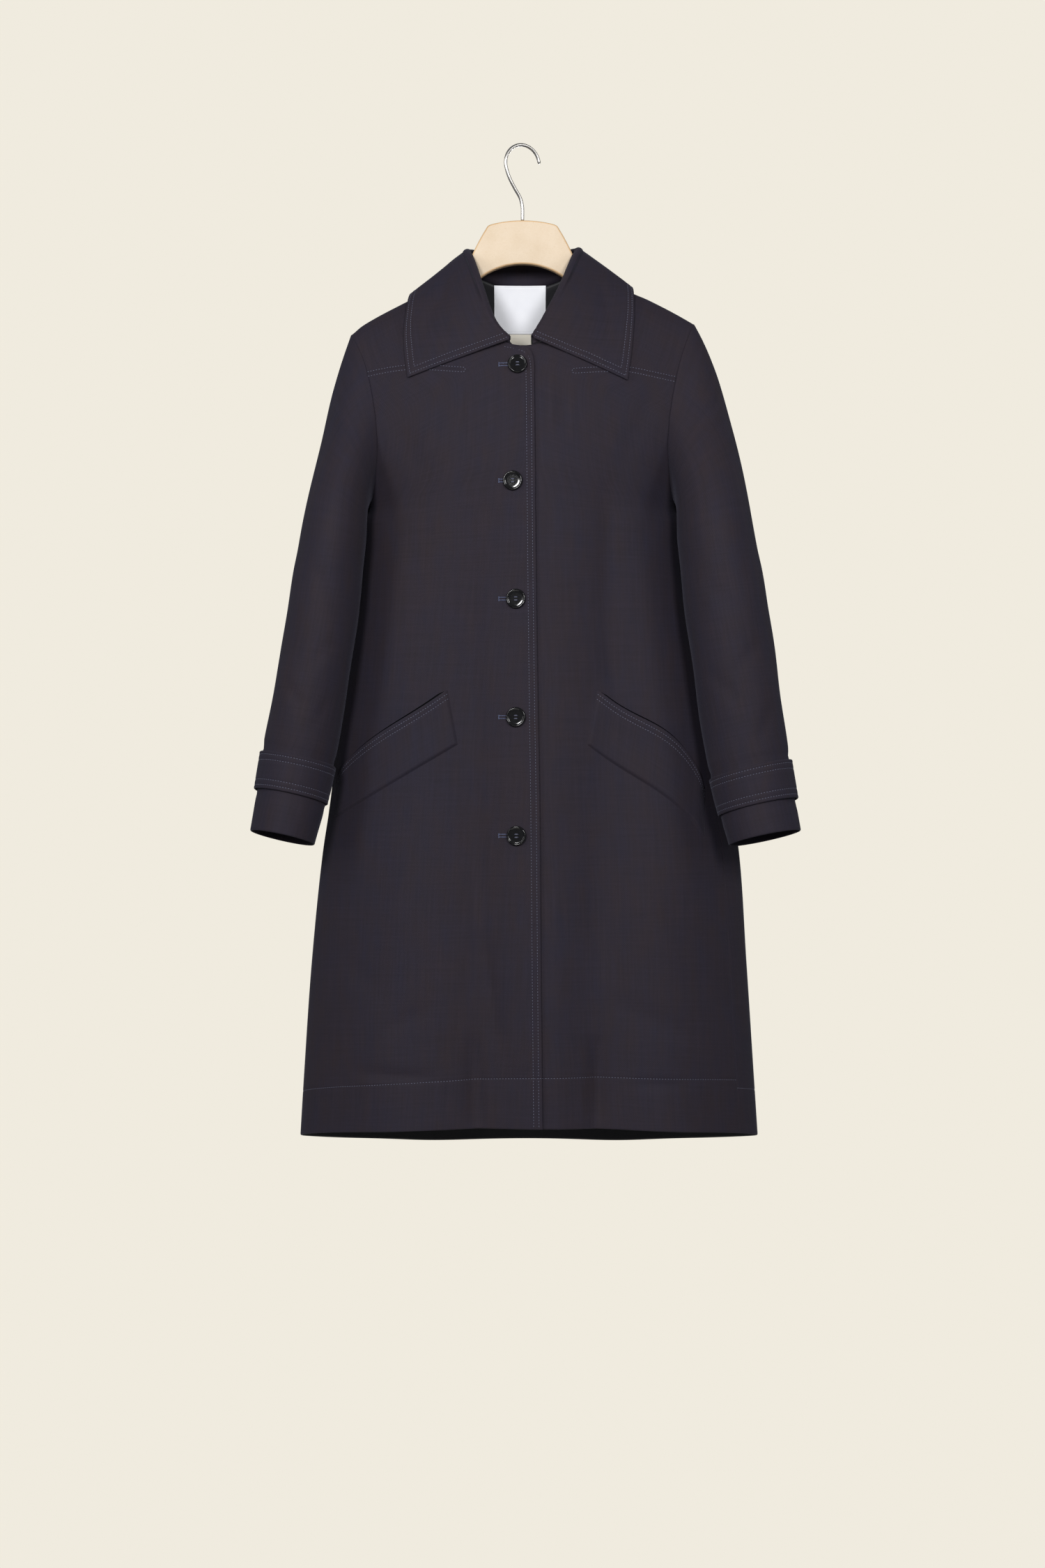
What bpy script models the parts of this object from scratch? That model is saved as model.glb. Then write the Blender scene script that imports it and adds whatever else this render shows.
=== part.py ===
"""Gabardine coat on a hanger.

The coat hangs by its shoulders on a fibre-board hanger. The origin is the inside top of the hanger's
hook, where a rail carries it. The front of the coat faces -Y and +Z is up. Right and left are the
wearer's, so the right side lies at -X. Sizes and tables are in millimetres and become metres when a
mesh is placed. A height is a distance below the origin, an out is a distance from the middle plane,
and a forward is a distance towards the viewer from the hanger's plane.
"""
import math

import bmesh
import bpy
from mathutils import Vector

METRES = 0.001
OBJECT_NAME = "gabardine_coat"
RIGHT, LEFT = -1, 1
SIDE_NAMES = {RIGHT: "right", LEFT: "left"}


def table(columns, *rows):
    """Rows of numbers that are read by column name."""
    names = columns.split()
    return [dict(zip(names, row)) for row in rows]


# Cloth
WALL = 2.0
COLLAR_WALL = 2.4
SEAM = 0.3
LAP_GAP = 0.7
CLOTH_SHARP, BUTTON_SHARP = math.radians(50), math.radians(40)

# Shoulders: a ridge from the neck point to the shoulder tip, rounded over the hanger's arm
NECK_POINT_OUT = 72.0
NECK_POINT_HEIGHT = 140.0
SHOULDER_SLOPE = 0.585
SHOULDER_ROUND = 40.0
CHEST_DROP = 260.0
FULLNESS = 1.8
RIDGE_FADE = 15.0
RIDGE_STRETCH = 1.14

# How much lower each shoulder hangs than the ridge, which fades out below it
SETTLE = table(
    "out right left",
    (60, 0, 0),
    (80, 2, 1.2),
    (95, 5, 1.9),
    (110, 6.8, 2),
    (130, 7, 0.6),
    (145, 6.3, -1.6),
    (160, 5.5, -2.8),
    (175, 5.1, -3.6),
    (190, 5.8, -3.9),
    (200, 8.6, -3.8),
    (215, 9.6, -3.5),
)
SETTLE_FADE = 100.0

# Body, from the shoulders to the hem: half widths of the two sides, and depths from the hanger's plane
BODY = table(
    "height right left front back",
    (100, 255, 255, 70, 66),
    (217, 255, 255, 74, 70),
    (330, 222, 222, 84, 78),
    (428, 182, 182, 87, 80),
    (443, 188, 188, 87, 80),
    (470, 189, 189, 88, 81),
    (535, 195, 196, 90, 83),
    (600, 205, 209, 92, 85),
    (713, 219.5, 236.5, 96, 88),
    (828, 235, 254.5, 100, 92),
    (959, 248, 263.5, 105, 97),
    (1090, 257, 272, 109, 101),
    (1190, 263, 278.5, 112, 104),
)
HEM_HEIGHT = 1163.0
HEM_TILT = 0.17
HEM_TILT_FROM = 800.0
UNDERARM_HEIGHT = 428.0
SEAM_TURN = {RIGHT: math.radians(6), LEFT: math.radians(-24)}
SEAM_TURN_BY = 800.0
PRINCESS_HEM_OUT = 95.0

# Armholes, from the shoulder tip to the underarm
ARMHOLE = table(
    "height front back",
    (212.3, 202, 202),
    (250, 187, 192),
    (300, 175, 182),
    (350, 169.5, 178),
    (390, 171.5, 178),
    (415, 176, 179),
    (428, 182, 182),
)

# Folds of the hanging cloth: a gaussian trough, or a ridge where the depth is negative
FRONT_FOLDS = table(
    "top_x hem_x from_height depth top_width hem_width",
    (-58, -47, 330, 15, 30, 42),
    (105, 86, 330, 15, 30, 45),
    (-135, -160, 420, -9, 40, 55),
    (165, 182, 420, -9, 40, 50),
)
BACK_FOLDS = table(
    "top_x hem_x from_height depth top_width hem_width",
    (-95, -112, 420, 13, 35, 50),
    (0, 5, 420, -10, 40, 55),
    (98, 115, 420, 13, 35, 50),
)
FOLD_GROWTH = 0.8
FOLD_SIDE_FADE = 0.45

# Panel rows below the underarm, as heights at the side seam and at the front edge
LOWER_ROWS = table(
    "side front",
    (1163, 1163),
    (1095, 1095),
    (1025, 1025),
    (955, 955),
    (885, 885),
    (815, 815),
    (745, 745),
    (680, 680),
    (615, 615),
    (555, 555),
    (503, 497),
    (463, 449),
)
# Panel rows from the underarm to the shoulder seam: front edge or neckline, back, its centre, and armhole
UPPER_ROWS = table(
    "neck_out front back centre armhole",
    (None, 405, 410, 412, 428),
    (None, 374, 388, 391, 418),
    (None, 343, 366, 370, 405),
    (None, 313, 344, 349, 388),
    (None, 284, 321, 328, 370),
    (None, 262, 298, 307, 351),
    (None, 246, 274, 286, 331),
    (12, 241.5, 250, 265, 311),
    (35, 231.5, 226, 244, 291),
    (53, 213, 202, 223, 271),
    (64.5, 187, 180, 204, 250),
    (69.5, 163, 162, 187, 231),
    (71.4, 149.5, 149.5, 174, 219.5),
    (71.9, 142.5, 142.5, 166, 214.3),
    (72, 140, 140, 162, 212.3),
)
NECK_START = 7
SIDE_COLUMNS = 14
NECK_COLUMNS = 10
PATH_STEPS = 80

# Front lap: how far each front passes the middle
LAP_TOP_HEIGHT = 250.0
LAP_TOP = 13.5
LAP_HEM = 22.0
LAP_CORNER = 6.0
LAP_MARGIN = 6.0
LAP_RAMP = 14.0
UNDERLAP = 24.0

# Sleeves, from the upper arm to the cuff. The slant is how much lower the inner edge hangs.
SLEEVES = {
    RIGHT: table(
        "height inner outer forward half_depth slant",
        (470, 182, 260, 48, 62, 6),
        (535, 189, 271, 52, 60, 9),
        (600, 197, 282, 56, 57, 12),
        (665, 207, 293, 60, 54, 15),
        (730, 219, 302.5, 64, 50, 17),
        (812, 238, 314, 70, 46, 16),
    ),
    LEFT: table(
        "height inner outer forward half_depth slant",
        (470, 180, 270, 52, 62, 6),
        (535, 187, 281, 60, 60, 10),
        (600, 195, 291, 66, 57, 14),
        (665, 204, 298.5, 72, 54, 18),
        (730, 216, 306, 78, 50, 21),
        (812, 236, 319.5, 86, 46, 17),
    ),
}
SLEEVE_TOP = 470.0
CUFF_HEIGHT = 812.0
CUFF_TILT = math.radians(9)
CAP_ROWS = (0.0, 0.1, 0.24, 0.42, 0.6, 0.8)
ARM_ROWS = (470, 520, 572, 624, 676, 728, 772, 812)
CAP_PUSH = {
    RIGHT: {"mean": 30.0, "tip": 5.0, "ends": -1.0},
    LEFT: {"mean": 50.0, "tip": 45.0, "ends": 19.0},
}
CAP_SWELL = 6.0
CAP_TWIST = 0.65
RIM_TURN = 0.8

# Cuff straps
STRAP_TOP = {RIGHT: 722.0, LEFT: 734.0}
STRAP_WIDTH = 43.0
STRAP_WALL = 2.2
STRAP_LIFT = 0.9
STRAP_ROWS = 2

# Collar: a turn of 0 is its front end, 1 the shoulder seam and 2 the centre back. The right leaf hangs lower.
COLLAR_ROLL = {
    RIGHT: table(
        "turn out forward height",
        (0, 15, 62, 234.5),
        (0.15, 27.5, 60, 222),
        (0.3, 37, 56, 206),
        (0.6, 50.5, 39, 167),
        (0.85, 60.5, 16, 135),
        (1, 65, 2, 124),
        (1.3, 62, -18, 120),
        (1.65, 38, -37, 119.5),
        (2, 0, -43, 120),
    ),
    LEFT: table(
        "turn out forward height",
        (0, 12, 62, 232.5),
        (0.3, 28, 57, 206),
        (0.6, 48, 40, 166),
        (0.85, 61, 16, 133),
        (1, 66, 2, 122),
        (1.3, 62, -18, 119),
        (1.65, 38, -37, 119.5),
        (2, 0, -43, 120),
    ),
}
COLLAR_EDGE = {
    RIGHT: table(
        "turn out forward height",
        (0, 133, 48, 279.5),
        (0.3, 136.5, 40, 251),
        (0.6, 138, 27, 222),
        (0.85, 136, 12, 196),
        (1, 132, 0, 169),
        (1.3, 113, -24, 181),
        (1.65, 60, -44, 198),
        (2, 0, -48, 203),
    ),
    LEFT: table(
        "turn out forward height",
        (0, 121.5, 48, 283),
        (0.3, 126, 40, 252),
        (0.6, 129, 27, 220),
        (0.85, 130, 12, 192),
        (1, 129, 0, 167.5),
        (1.3, 112, -24, 180),
        (1.65, 60, -44, 197),
        (2, 0, -48, 203),
    ),
}
COLLAR_ROLL_RADIUS = 3.0
COLLAR_STAND_ROWS = 3
COLLAR_ROLL_ROWS = 4
COLLAR_FALL_ROWS = 6
COLLAR_FALL_BULGE = 3.0
COLLAR_CLEAR = 0.9
COLLAR_RIDGE_CLEAR = 3.5
COLLAR_RIDGE_FADE = 20.0

# Pocket welts: corners as out and height
WELT = {"inner_top": (85.5, 641.0), "inner_bottom": (73.5, 705.0),
        "outer_top": {RIGHT: (217.0, 741.0), LEFT: (213.0, 760.0)},
        "outer_bottom": {RIGHT: (221.0, 792.0), LEFT: (212.0, 815.0)}}
WELT_ARCH_TOP = {RIGHT: 9.0, LEFT: 26.0}
WELT_ARCH_BOTTOM = {RIGHT: 0.0, LEFT: 11.6}
WELT_WALL = 2.2
WELT_GAP = 0.35
WELT_END_GAP = 1.1
WELT_COLUMNS = 14
WELT_ROWS = 4

# Buttons: turned discs with a raised rim and four holes
BUTTON_XS = (-5.8, -11.2, -7.6, -7.6, -6.8)
BUTTON_FIRST = 266.0
BUTTON_PITCH = 135.8
BUTTON_PROFILE = table(
    "radius top",
    (0, 1.9),
    (6.4, 1.9),
    (7.6, 3.0),
    (9.2, 3.6),
    (10.8, 2.9),
    (11.4, 1.7),
    (10.4, 0.3),
    (9.2, 0),
    (0, 0),
)
BUTTON_STEPS = 16
BUTTON_WELD = 0.01
BUTTON_HOLES = 4
BUTTON_HOLE_RADIUS = 0.95
BUTTON_HOLE_CIRCLE = 2.475
BUTTON_HOLE_SIDES = 6
BUTTON_DRILL = 20.0
BUTTON_SEAT_ANGLE, BUTTON_SEAT_HEIGHT = 0.02, 5.0

# Neck label and size tab, inside the back
LABEL_X, LABEL_WIDTH, LABEL_TOP, LABEL_BOTTOM = -3.0, 62.0, 158.5, 213.5
TAB_X, TAB_WIDTH, TAB_TOP, TAB_BOTTOM = -2.5, 26.0, 213.8, 226.0
LABEL_WALL = 1.0
LABEL_GAP = 0.6
LABEL_COLUMNS, LABEL_ROWS, TAB_ROWS = 6, 5, 2

# Hanger
HANGER_THICKNESS = 12.0
HANGER_EDGE = 5.0
HANGER_ARM_GAP = 3.0
HANGER_NECK = table(
    "out height",
    (0, 87.5),
    (20, 87.9),
    (38, 89.2),
    (42.5, 92),
    (51, 110),
    (59.5, 128),
    (63, 137.5),
    (67, 143.5),
    (73, 146.5),
)
HANGER_ARM_FROM, HANGER_ARM_TO, HANGER_ARM_POINTS = 82.0, 176.0, 8
HANGER_END = table(
    "out below_ridge",
    (183, 5.5),
    (187, 12),
    (186, 20),
    (180, 25.5),
)
HANGER_UNDER_FROM, HANGER_UNDER_TO, HANGER_UNDER_POINTS = 170.0, 95.0, 5
HANGER_UNDER_TIP, HANGER_UNDER_ROOT = 28.0, 38.5
HANGER_BOW_TOP, HANGER_BOW_RADIUS, HANGER_BOW_OUT, HANGER_BOW_POINTS = 139.0, 83.0, 64.0, 5
HOOK_WIRE = 3.9
HOOK_INNER = 20.5
HOOK_TURN = math.radians(28)
HOOK_TIP, HOOK_HEEL = math.radians(84), math.radians(-104)
HOOK_ARC_POINTS = 18
HOOK_STEM = table(
    "across height",
    (-17.5, 38),
    (-10, 50.5),
    (-3, 61),
    (-0.2, 71),
    (0, 80),
    (0, 87.2),
)

# Colours, as linear values, with roughness and metallic
CLOTH = ((0.030, 0.025, 0.034), 0.75, 0.0)
BUTTON = ((0.008, 0.008, 0.009), 0.15, 0.0)
LABEL_CLOTH = ((0.80, 0.82, 0.83), 0.8, 0.0)
TAB_CLOTH = ((0.72, 0.66, 0.52), 0.8, 0.0)
BOARD = ((0.55, 0.43, 0.31), 0.7, 0.0)
STEEL = ((0.55, 0.55, 0.56), 0.3, 1.0)


def blend(first, second, share):
    """The value a share of the way from the first to the second."""
    return first + (second - first) * share


def ease(share):
    """A smooth step from 0 to 1."""
    share = min(max(share, 0.0), 1.0)
    return share * share * (3 - 2 * share)


def hermite(share, first, leaving, last, arriving):
    """A point of the cubic curve between two points, given the speeds at its ends."""
    square, cube = share ** 2, share ** 3
    return (first * (2 * cube - 3 * square + 1) + leaving * (cube - 2 * square + share)
            + last * (3 * square - 2 * cube) + arriving * (cube - square))


def smooth(rows, along, value):
    """A smooth curve of one column of a table against another, level beyond its ends."""
    places = [row[along] for row in rows]
    values = [row[value] for row in rows]
    rises = [(b - a) / (q - p) for a, b, p, q in zip(values, values[1:], places, places[1:])]
    slopes = [rises[0]] + [(a + b) / 2 for a, b in zip(rises, rises[1:])] + [rises[-1]]

    def at(place):
        place = min(max(place, places[0]), places[-1])
        index = min(sum(p <= place for p in places) - 1, len(places) - 2)
        span = places[index + 1] - places[index]
        share = (place - places[index]) / span
        leaving, arriving = slopes[index] * span, slopes[index + 1] * span
        return hermite(share, values[index], leaving, values[index + 1], arriving)

    return at


HALF_WIDTH = {RIGHT: smooth(BODY, "height", "right"), LEFT: smooth(BODY, "height", "left")}
FRONT_DEPTH = smooth(BODY, "height", "front")
BACK_DEPTH = smooth(BODY, "height", "back")
SETTLE_BY = {RIGHT: smooth(SETTLE, "out", "right"), LEFT: smooth(SETTLE, "out", "left")}
ARMHOLE_OUT = {"front": smooth(ARMHOLE, "height", "front"), "back": smooth(ARMHOLE, "height", "back")}


def shoulder_ridge(out):
    """The height of the shoulder line."""
    return NECK_POINT_HEIGHT + SHOULDER_SLOPE * (
        math.hypot(out, SHOULDER_ROUND) - math.hypot(NECK_POINT_OUT, SHOULDER_ROUND))


def settled(point):
    """A point of the cloth or the board, lowered as far as its shoulder has settled."""
    out = abs(point.x)
    drop = -point.z - shoulder_ridge(out)
    lower = SETTLE_BY[LEFT if point.x > 0 else RIGHT](out) * (1 - ease(drop / SETTLE_FADE))
    return point - Vector((0.0, 0.0, lower))


def shoulder_fullness(drop):
    """The share of the full depth that the cloth has reached at a drop below the shoulder line."""
    share = min(max(drop / CHEST_DROP, 0.0), 1.0)
    return (1 - (1 - share) ** FULLNESS) ** (1 / FULLNESS)


def fold_relief(folds, x, height):
    """How far the folds press the cloth inwards."""
    relief = 0.0
    for fold in folds:
        share = max((height - fold["from_height"]) / (HEM_HEIGHT - fold["from_height"]), 0.0)
        middle = blend(fold["top_x"], fold["hem_x"], share)
        width = blend(fold["top_width"], fold["hem_width"], share)
        relief += fold["depth"] * share ** FOLD_GROWTH * math.exp(-((x - middle) / width) ** 2)
    return relief


def body_point(angle, height, inset=0.0):
    """A point of the body's cloth. The angle is 0 at the front, positive to the left side."""
    across, facing = math.sin(angle), math.cos(angle)
    x = (HALF_WIDTH[LEFT if across > 0 else RIGHT](height) - inset) * across
    drop = max(height - shoulder_ridge(x), 0.0)
    near_ridge = math.exp(-drop / RIDGE_FADE)
    lowered = inset * RIDGE_STRETCH
    depth = FRONT_DEPTH(height) if facing > 0 else BACK_DEPTH(height)
    reach = (depth - inset) * shoulder_fullness(drop - lowered * (1 - near_ridge)) * abs(facing)
    relief = fold_relief(FRONT_FOLDS if facing > 0 else BACK_FOLDS, x, height)
    reach -= relief * ease(abs(facing) / FOLD_SIDE_FADE)
    return Vector((x, -reach if facing > 0 else reach, -(height + lowered * near_ridge)))


def lap_edge(height):
    """The x of the right front's edge."""
    return blend(LAP_TOP, LAP_HEM, (height - LAP_TOP_HEIGHT) / (HEM_HEIGHT - LAP_TOP_HEIGHT))


def underlap_point(angle, height, inset=0.0):
    """A point of the left front, which dips behind the right front's lap."""
    point = body_point(angle, height, inset)
    point.y += (WALL + LAP_GAP) * ease((lap_edge(height) + LAP_MARGIN + LAP_RAMP - point.x) / LAP_RAMP)
    return point


FRONT_POINT = {RIGHT: body_point, LEFT: underlap_point}


def angle_at(side, out, height, at_back=False):
    """The angle of a point of the body that lies a distance out from the middle plane."""
    angle = math.asin(min(max(out / HALF_WIDTH[side](height), -1.0), 1.0))
    return side * (math.pi - angle if at_back else angle)


def seam_angle(side, height):
    """The angle of the side seam."""
    turn = ease((height - UNDERARM_HEIGHT) / (SEAM_TURN_BY - UNDERARM_HEIGHT))
    return side * (math.pi / 2 + SEAM_TURN[side] * turn)


def hem_height(angle, height):
    """A row's height after the hem's tilt, which lifts the front and drops the back."""
    facing = math.cos(angle)
    reach = -FRONT_DEPTH(height) * facing if facing > 0 else -BACK_DEPTH(height) * facing
    return height + HEM_TILT * reach * ease((height - HEM_TILT_FROM) / (HEM_HEIGHT - HEM_TILT_FROM))


def spread(path, columns, point, trim_start=0.0, trim_end=0.0):
    """Places at equal distances along a path of angles and heights, short of its ends by the trims."""
    places = [path(step / PATH_STEPS) for step in range(PATH_STEPS + 1)]
    points = [point(*place) for place in places]
    lengths = [0.0]
    for first, second in zip(points, points[1:]):
        lengths.append(lengths[-1] + (second - first).length)
    result = []
    for column in range(columns + 1):
        length = blend(trim_start, lengths[-1] - trim_end, column / columns)
        index = max(min(sum(passed <= length for passed in lengths) - 1, PATH_STEPS - 1), 0)
        share = (length - lengths[index]) / max(lengths[index + 1] - lengths[index], 1e-9)
        result.append(path((index + share) / PATH_STEPS))
    return result


def front_edge_out(side, height, corner=False):
    """How far out the front edge lies, which is past the middle plane."""
    edge = lap_edge(height) if side == RIGHT else UNDERLAP
    return -(edge - LAP_CORNER if corner else edge)


def upper_path(row, level, side, start_out, start_height, at_back):
    """A path from the neck or the front edge to the armhole, which follows the shoulder higher up."""
    end_height = row["armhole"]
    end_out = ARMHOLE_OUT["back" if at_back else "front"](end_height)
    start_drop = start_height - shoulder_ridge(start_out)
    end_drop = end_height - shoulder_ridge(end_out)

    def path(share):
        out = blend(start_out, end_out, share)
        level_height = blend(start_height, end_height, share)
        ridge_height = shoulder_ridge(out) + blend(start_drop, end_drop, share)
        height = blend(level_height, ridge_height, level)
        return angle_at(side, out, height, at_back), height

    return path


def front_rows(side):
    """Rows of places on a front panel, from the hem to the shoulder."""
    rows = []
    for row in LOWER_ROWS:
        def path(share, row=row):
            height = blend(row["front"], row["side"], share)
            start = angle_at(side, front_edge_out(side, height), height)
            angle = blend(start, seam_angle(side, row["side"]), share)
            return angle, hem_height(angle, height)
        rows.append(spread(path, SIDE_COLUMNS, FRONT_POINT[side], trim_end=SEAM / 2))
    for index, row in enumerate(UPPER_ROWS):
        out = row["neck_out"]
        if out is None:
            out = front_edge_out(side, row["front"], corner=index == NECK_START - 1)
        path = upper_path(row, index / (len(UPPER_ROWS) - 1), side, out, row["front"], at_back=False)
        trim = SEAM / 2 if index == 0 else 0.0
        rows.append(spread(path, SIDE_COLUMNS, FRONT_POINT[side], trim_end=trim))
    return rows


def princess_out(height):
    """Where the back's neck columns run, from the neck point to the hem."""
    share = (height - NECK_POINT_HEIGHT) / (HEM_HEIGHT - NECK_POINT_HEIGHT)
    return blend(NECK_POINT_OUT, PRINCESS_HEM_OUT, share)


def back_centre_path(neck_height, centre_height, tilted):
    """A path across the middle of the back, lower at the centre."""
    out = princess_out(neck_height)

    def path(share):
        x = blend(-out, out, share)
        height = centre_height + (neck_height - centre_height) * (x / out) ** 2
        angle = angle_at(LEFT if x > 0 else RIGHT, abs(x), height, at_back=True)
        return angle, hem_height(angle, height) if tilted else height

    return path


def back_rows():
    """Rows of places on the back panel, from the right side to the left, from the hem to the shoulder."""
    rows = []
    for row in LOWER_ROWS:
        height = row["side"]
        halves = {}
        for side in (RIGHT, LEFT):
            def path(share, side=side, height=height):
                start = angle_at(side, princess_out(height), height, at_back=True)
                angle = blend(start, seam_angle(side, height), share)
                return angle, hem_height(angle, height)
            halves[side] = spread(path, SIDE_COLUMNS, body_point, trim_end=SEAM / 2)
        centre = spread(back_centre_path(height, height, tilted=True), NECK_COLUMNS, body_point)
        rows.append(halves[RIGHT][::-1] + centre[1:-1] + halves[LEFT])
    for index, row in enumerate(UPPER_ROWS):
        level = index / (len(UPPER_ROWS) - 1)
        trim = SEAM / 2 if index == 0 else 0.0
        halves = {}
        for side in (RIGHT, LEFT):
            path = upper_path(row, level, side, princess_out(row["back"]), row["back"], at_back=True)
            halves[side] = spread(path, SIDE_COLUMNS, body_point, trim_end=trim)
        path = back_centre_path(row["back"], row["centre"], tilted=False)
        centre = spread(path, NECK_COLUMNS, body_point)
        rows.append(halves[RIGHT][::-1] + centre[1:-1] + halves[LEFT])
    return rows


def panel_faces(rows, point, shoulder_shift, rims):
    """The outer and inner face of a panel. The shoulder seam's row moves apart from the other panel's.

    The rims hold the wall's direction at each upper row's armhole, for the columns that end there.
    """
    outer = [[point(*place) for place in row] for row in rows]
    inner = [[point(*place, inset=WALL) for place in row] for row in rows]
    for face in (outer, inner):
        for corner in face[-1]:
            corner.y += shoulder_shift
    for column, walls in rims.items():
        for index, wall in enumerate(walls):
            row = len(LOWER_ROWS) + index
            inner[row][column] = outer[row][column] + wall
    return outer, inner


def principled(name, finish):
    """A Principled material from a colour, a roughness and a metallic value."""
    colour, roughness, metallic = finish
    material = bpy.data.materials.new(name)
    material.use_nodes = True
    shader = material.node_tree.nodes["Principled BSDF"]
    shader.inputs["Base Color"].default_value = (*colour, 1.0)
    shader.inputs["Roughness"].default_value = roughness
    shader.inputs["Metallic"].default_value = metallic
    return material


def add_object(name, data, finish, collection):
    """A named object with its own material."""
    data.materials.clear()
    data.materials.append(principled(name, finish))
    item = bpy.data.objects.new(name, data)
    collection.objects.link(item)
    return item


def cloth_wall(name, outer, inner, finish, collection, ring=False):
    """A closed wall of cloth between two faces, each given as rows of points. A ring joins its ends."""
    rows, columns = len(outer) - 1, len(outer[0]) - (0 if ring else 1)
    mesh = bmesh.new()
    column_of = mesh.verts.layers.int.new("column")
    row_of = mesh.verts.layers.int.new("row")
    bmesh.ops.create_grid(mesh, x_segments=columns, y_segments=rows, size=0.5)
    for vert in mesh.verts:
        vert[column_of] = round((vert.co.x + 0.5) * columns)
        vert[row_of] = round((vert.co.y + 0.5) * rows)
    if ring:
        at = {(vert[column_of], vert[row_of]): vert for vert in mesh.verts}
        bmesh.ops.weld_verts(mesh, targetmap={at[columns, row]: at[0, row] for row in range(rows + 1)})
    sheet = mesh.verts[:] + mesh.edges[:] + mesh.faces[:]
    copied = bmesh.ops.extrude_face_region(mesh, geom=sheet, use_keep_orig=True)["geom"]
    inside = {item for item in copied if isinstance(item, bmesh.types.BMVert)}
    for vert in mesh.verts:
        face = inner if vert in inside else outer
        vert.co = settled(face[vert[row_of]][vert[column_of]]) * METRES
    bmesh.ops.recalc_face_normals(mesh, faces=mesh.faces[:])
    data = bpy.data.meshes.new(name)
    mesh.to_mesh(data)
    mesh.free()
    data.shade_smooth()
    data.set_sharp_from_angle(angle=CLOTH_SHARP)
    return add_object(name, data, finish, collection)


def armhole_loop(side, inset=0.0):
    """Points round an armhole: from the tip down the front to the underarm, then up the back."""
    heights = [row["armhole"] for row in UPPER_ROWS]
    front = [body_point(angle_at(side, ARMHOLE_OUT["front"](h), h), h, inset) for h in heights]
    back = [body_point(angle_at(side, ARMHOLE_OUT["back"](h), h, at_back=True), h, inset) for h in heights]
    return front[::-1] + back[1:-1]


def armhole_walls(side):
    """The wall's direction round an armhole, turned from the body's inside to the armhole's middle."""
    loop, inset_loop = armhole_loop(side), armhole_loop(side, WALL)
    middle = sum(loop, Vector()) / len(loop)
    return [(inset - point).normalized().lerp((middle - point).normalized(), RIM_TURN).normalized() * WALL
            for point, inset in zip(loop, inset_loop)]


def build_body(collection):
    """Front panels and back panel."""
    half = len(UPPER_ROWS) - 1
    walls = {side: armhole_walls(side) for side in (RIGHT, LEFT)}
    for side in (RIGHT, LEFT):
        rims = {SIDE_COLUMNS: walls[side][half::-1]}
        outer, inner = panel_faces(front_rows(side), FRONT_POINT[side], -SEAM / 2, rims)
        cloth_wall(f"front_{SIDE_NAMES[side]}", outer, inner, CLOTH, collection)
    rims = {0: walls[RIGHT][half:] + walls[RIGHT][:1], -1: walls[LEFT][half:] + walls[LEFT][:1]}
    outer, inner = panel_faces(back_rows(), body_point, SEAM / 2, rims)
    cloth_wall("back", outer, inner, CLOTH, collection)


def sleeve_ring_point(side, turn, height, inset=0.0):
    """A point round a sleeve below the armhole. The turn is 0 at its outer edge and grows to the front."""
    at = {name: smooth(SLEEVES[side], "height", name)(height) for name in SLEEVES[side][0]}
    half_width = (at["outer"] - at["inner"]) / 2
    middle = Vector((side * (at["outer"] + at["inner"]) / 2, -at["forward"], -height))
    outwards = Vector((side * half_width, 0.0, at["slant"] / 2))
    tilt = CUFF_TILT * ease((height - SLEEVE_TOP) / (CUFF_HEIGHT - SLEEVE_TOP))
    forwards = Vector((0.0, -math.cos(tilt), math.sin(tilt)))
    return (middle + outwards * (1 - inset / half_width) * math.cos(turn)
            + forwards * (at["half_depth"] - inset) * math.sin(turn))


def sleeve_turns(side):
    """The turn of each point of the armhole by its distance round each half, tip to underarm.

    The sleeve hangs in front of the armhole, so the tip and the underarm go to the back of its ring.
    """
    loop = armhole_loop(side)
    half = len(loop) // 2
    closed = loop + [loop[0]]
    steps = [(second - first).length for first, second in zip(closed, closed[1:])]
    turns = []
    for index in range(len(loop)):
        first = 0 if index < half else half
        whole = sum(steps[first:first + half])
        turn = math.pi * (sum(steps[first:index]) / whole + (first > 0))
        turns.append(turn - CAP_TWIST * math.cos(turn))
    return turns


def seam_step(loop, inner_loop, index, towards):
    """The step across a seam, along the cloth and towards the far side."""
    along = loop[(index + 1) % len(loop)] - loop[index - 1]
    wall = inner_loop[index] - loop[index]
    across = along.cross(wall).normalized()
    return across * SEAM * (1 if across.dot(towards - loop[index]) > 0 else -1)


def sleeve_faces(side):
    """The outer and inner face of a sleeve, from the armhole to the cuff."""
    loop = armhole_loop(side)
    inner_loop = [point + wall for point, wall in zip(loop, armhole_walls(side))]
    turns = sleeve_turns(side)
    middle = sum(loop, Vector()) / len(loop)
    steps = [seam_step(loop, inner_loop, index, middle) for index in range(len(loop))]
    faces = []
    for start, inset in ((loop, 0.0), (inner_loop, WALL)):
        face = []
        for share in CAP_ROWS:
            row = []
            for index, turn in enumerate(turns):
                first = start[index] + steps[index]
                last = sleeve_ring_point(side, turn, SLEEVE_TOP, inset)
                below = sleeve_ring_point(side, turn, SLEEVE_TOP + 1.0, inset)
                chord = last - first
                push = CAP_PUSH[side]["mean"] + CAP_PUSH[side]["tip"] * math.cos(turn)
                push += CAP_PUSH[side]["ends"] * math.cos(2 * turn)
                leaving = chord + Vector((side * push, -CAP_SWELL * math.sin(turn), 0.0))
                arriving = (below - last) * chord.length
                row.append(hermite(share, first, leaving, last, arriving))
            face.append(row)
        for height in ARM_ROWS:
            face.append([sleeve_ring_point(side, turn, height, inset) for turn in turns])
        faces.append(face)
    return faces


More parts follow.
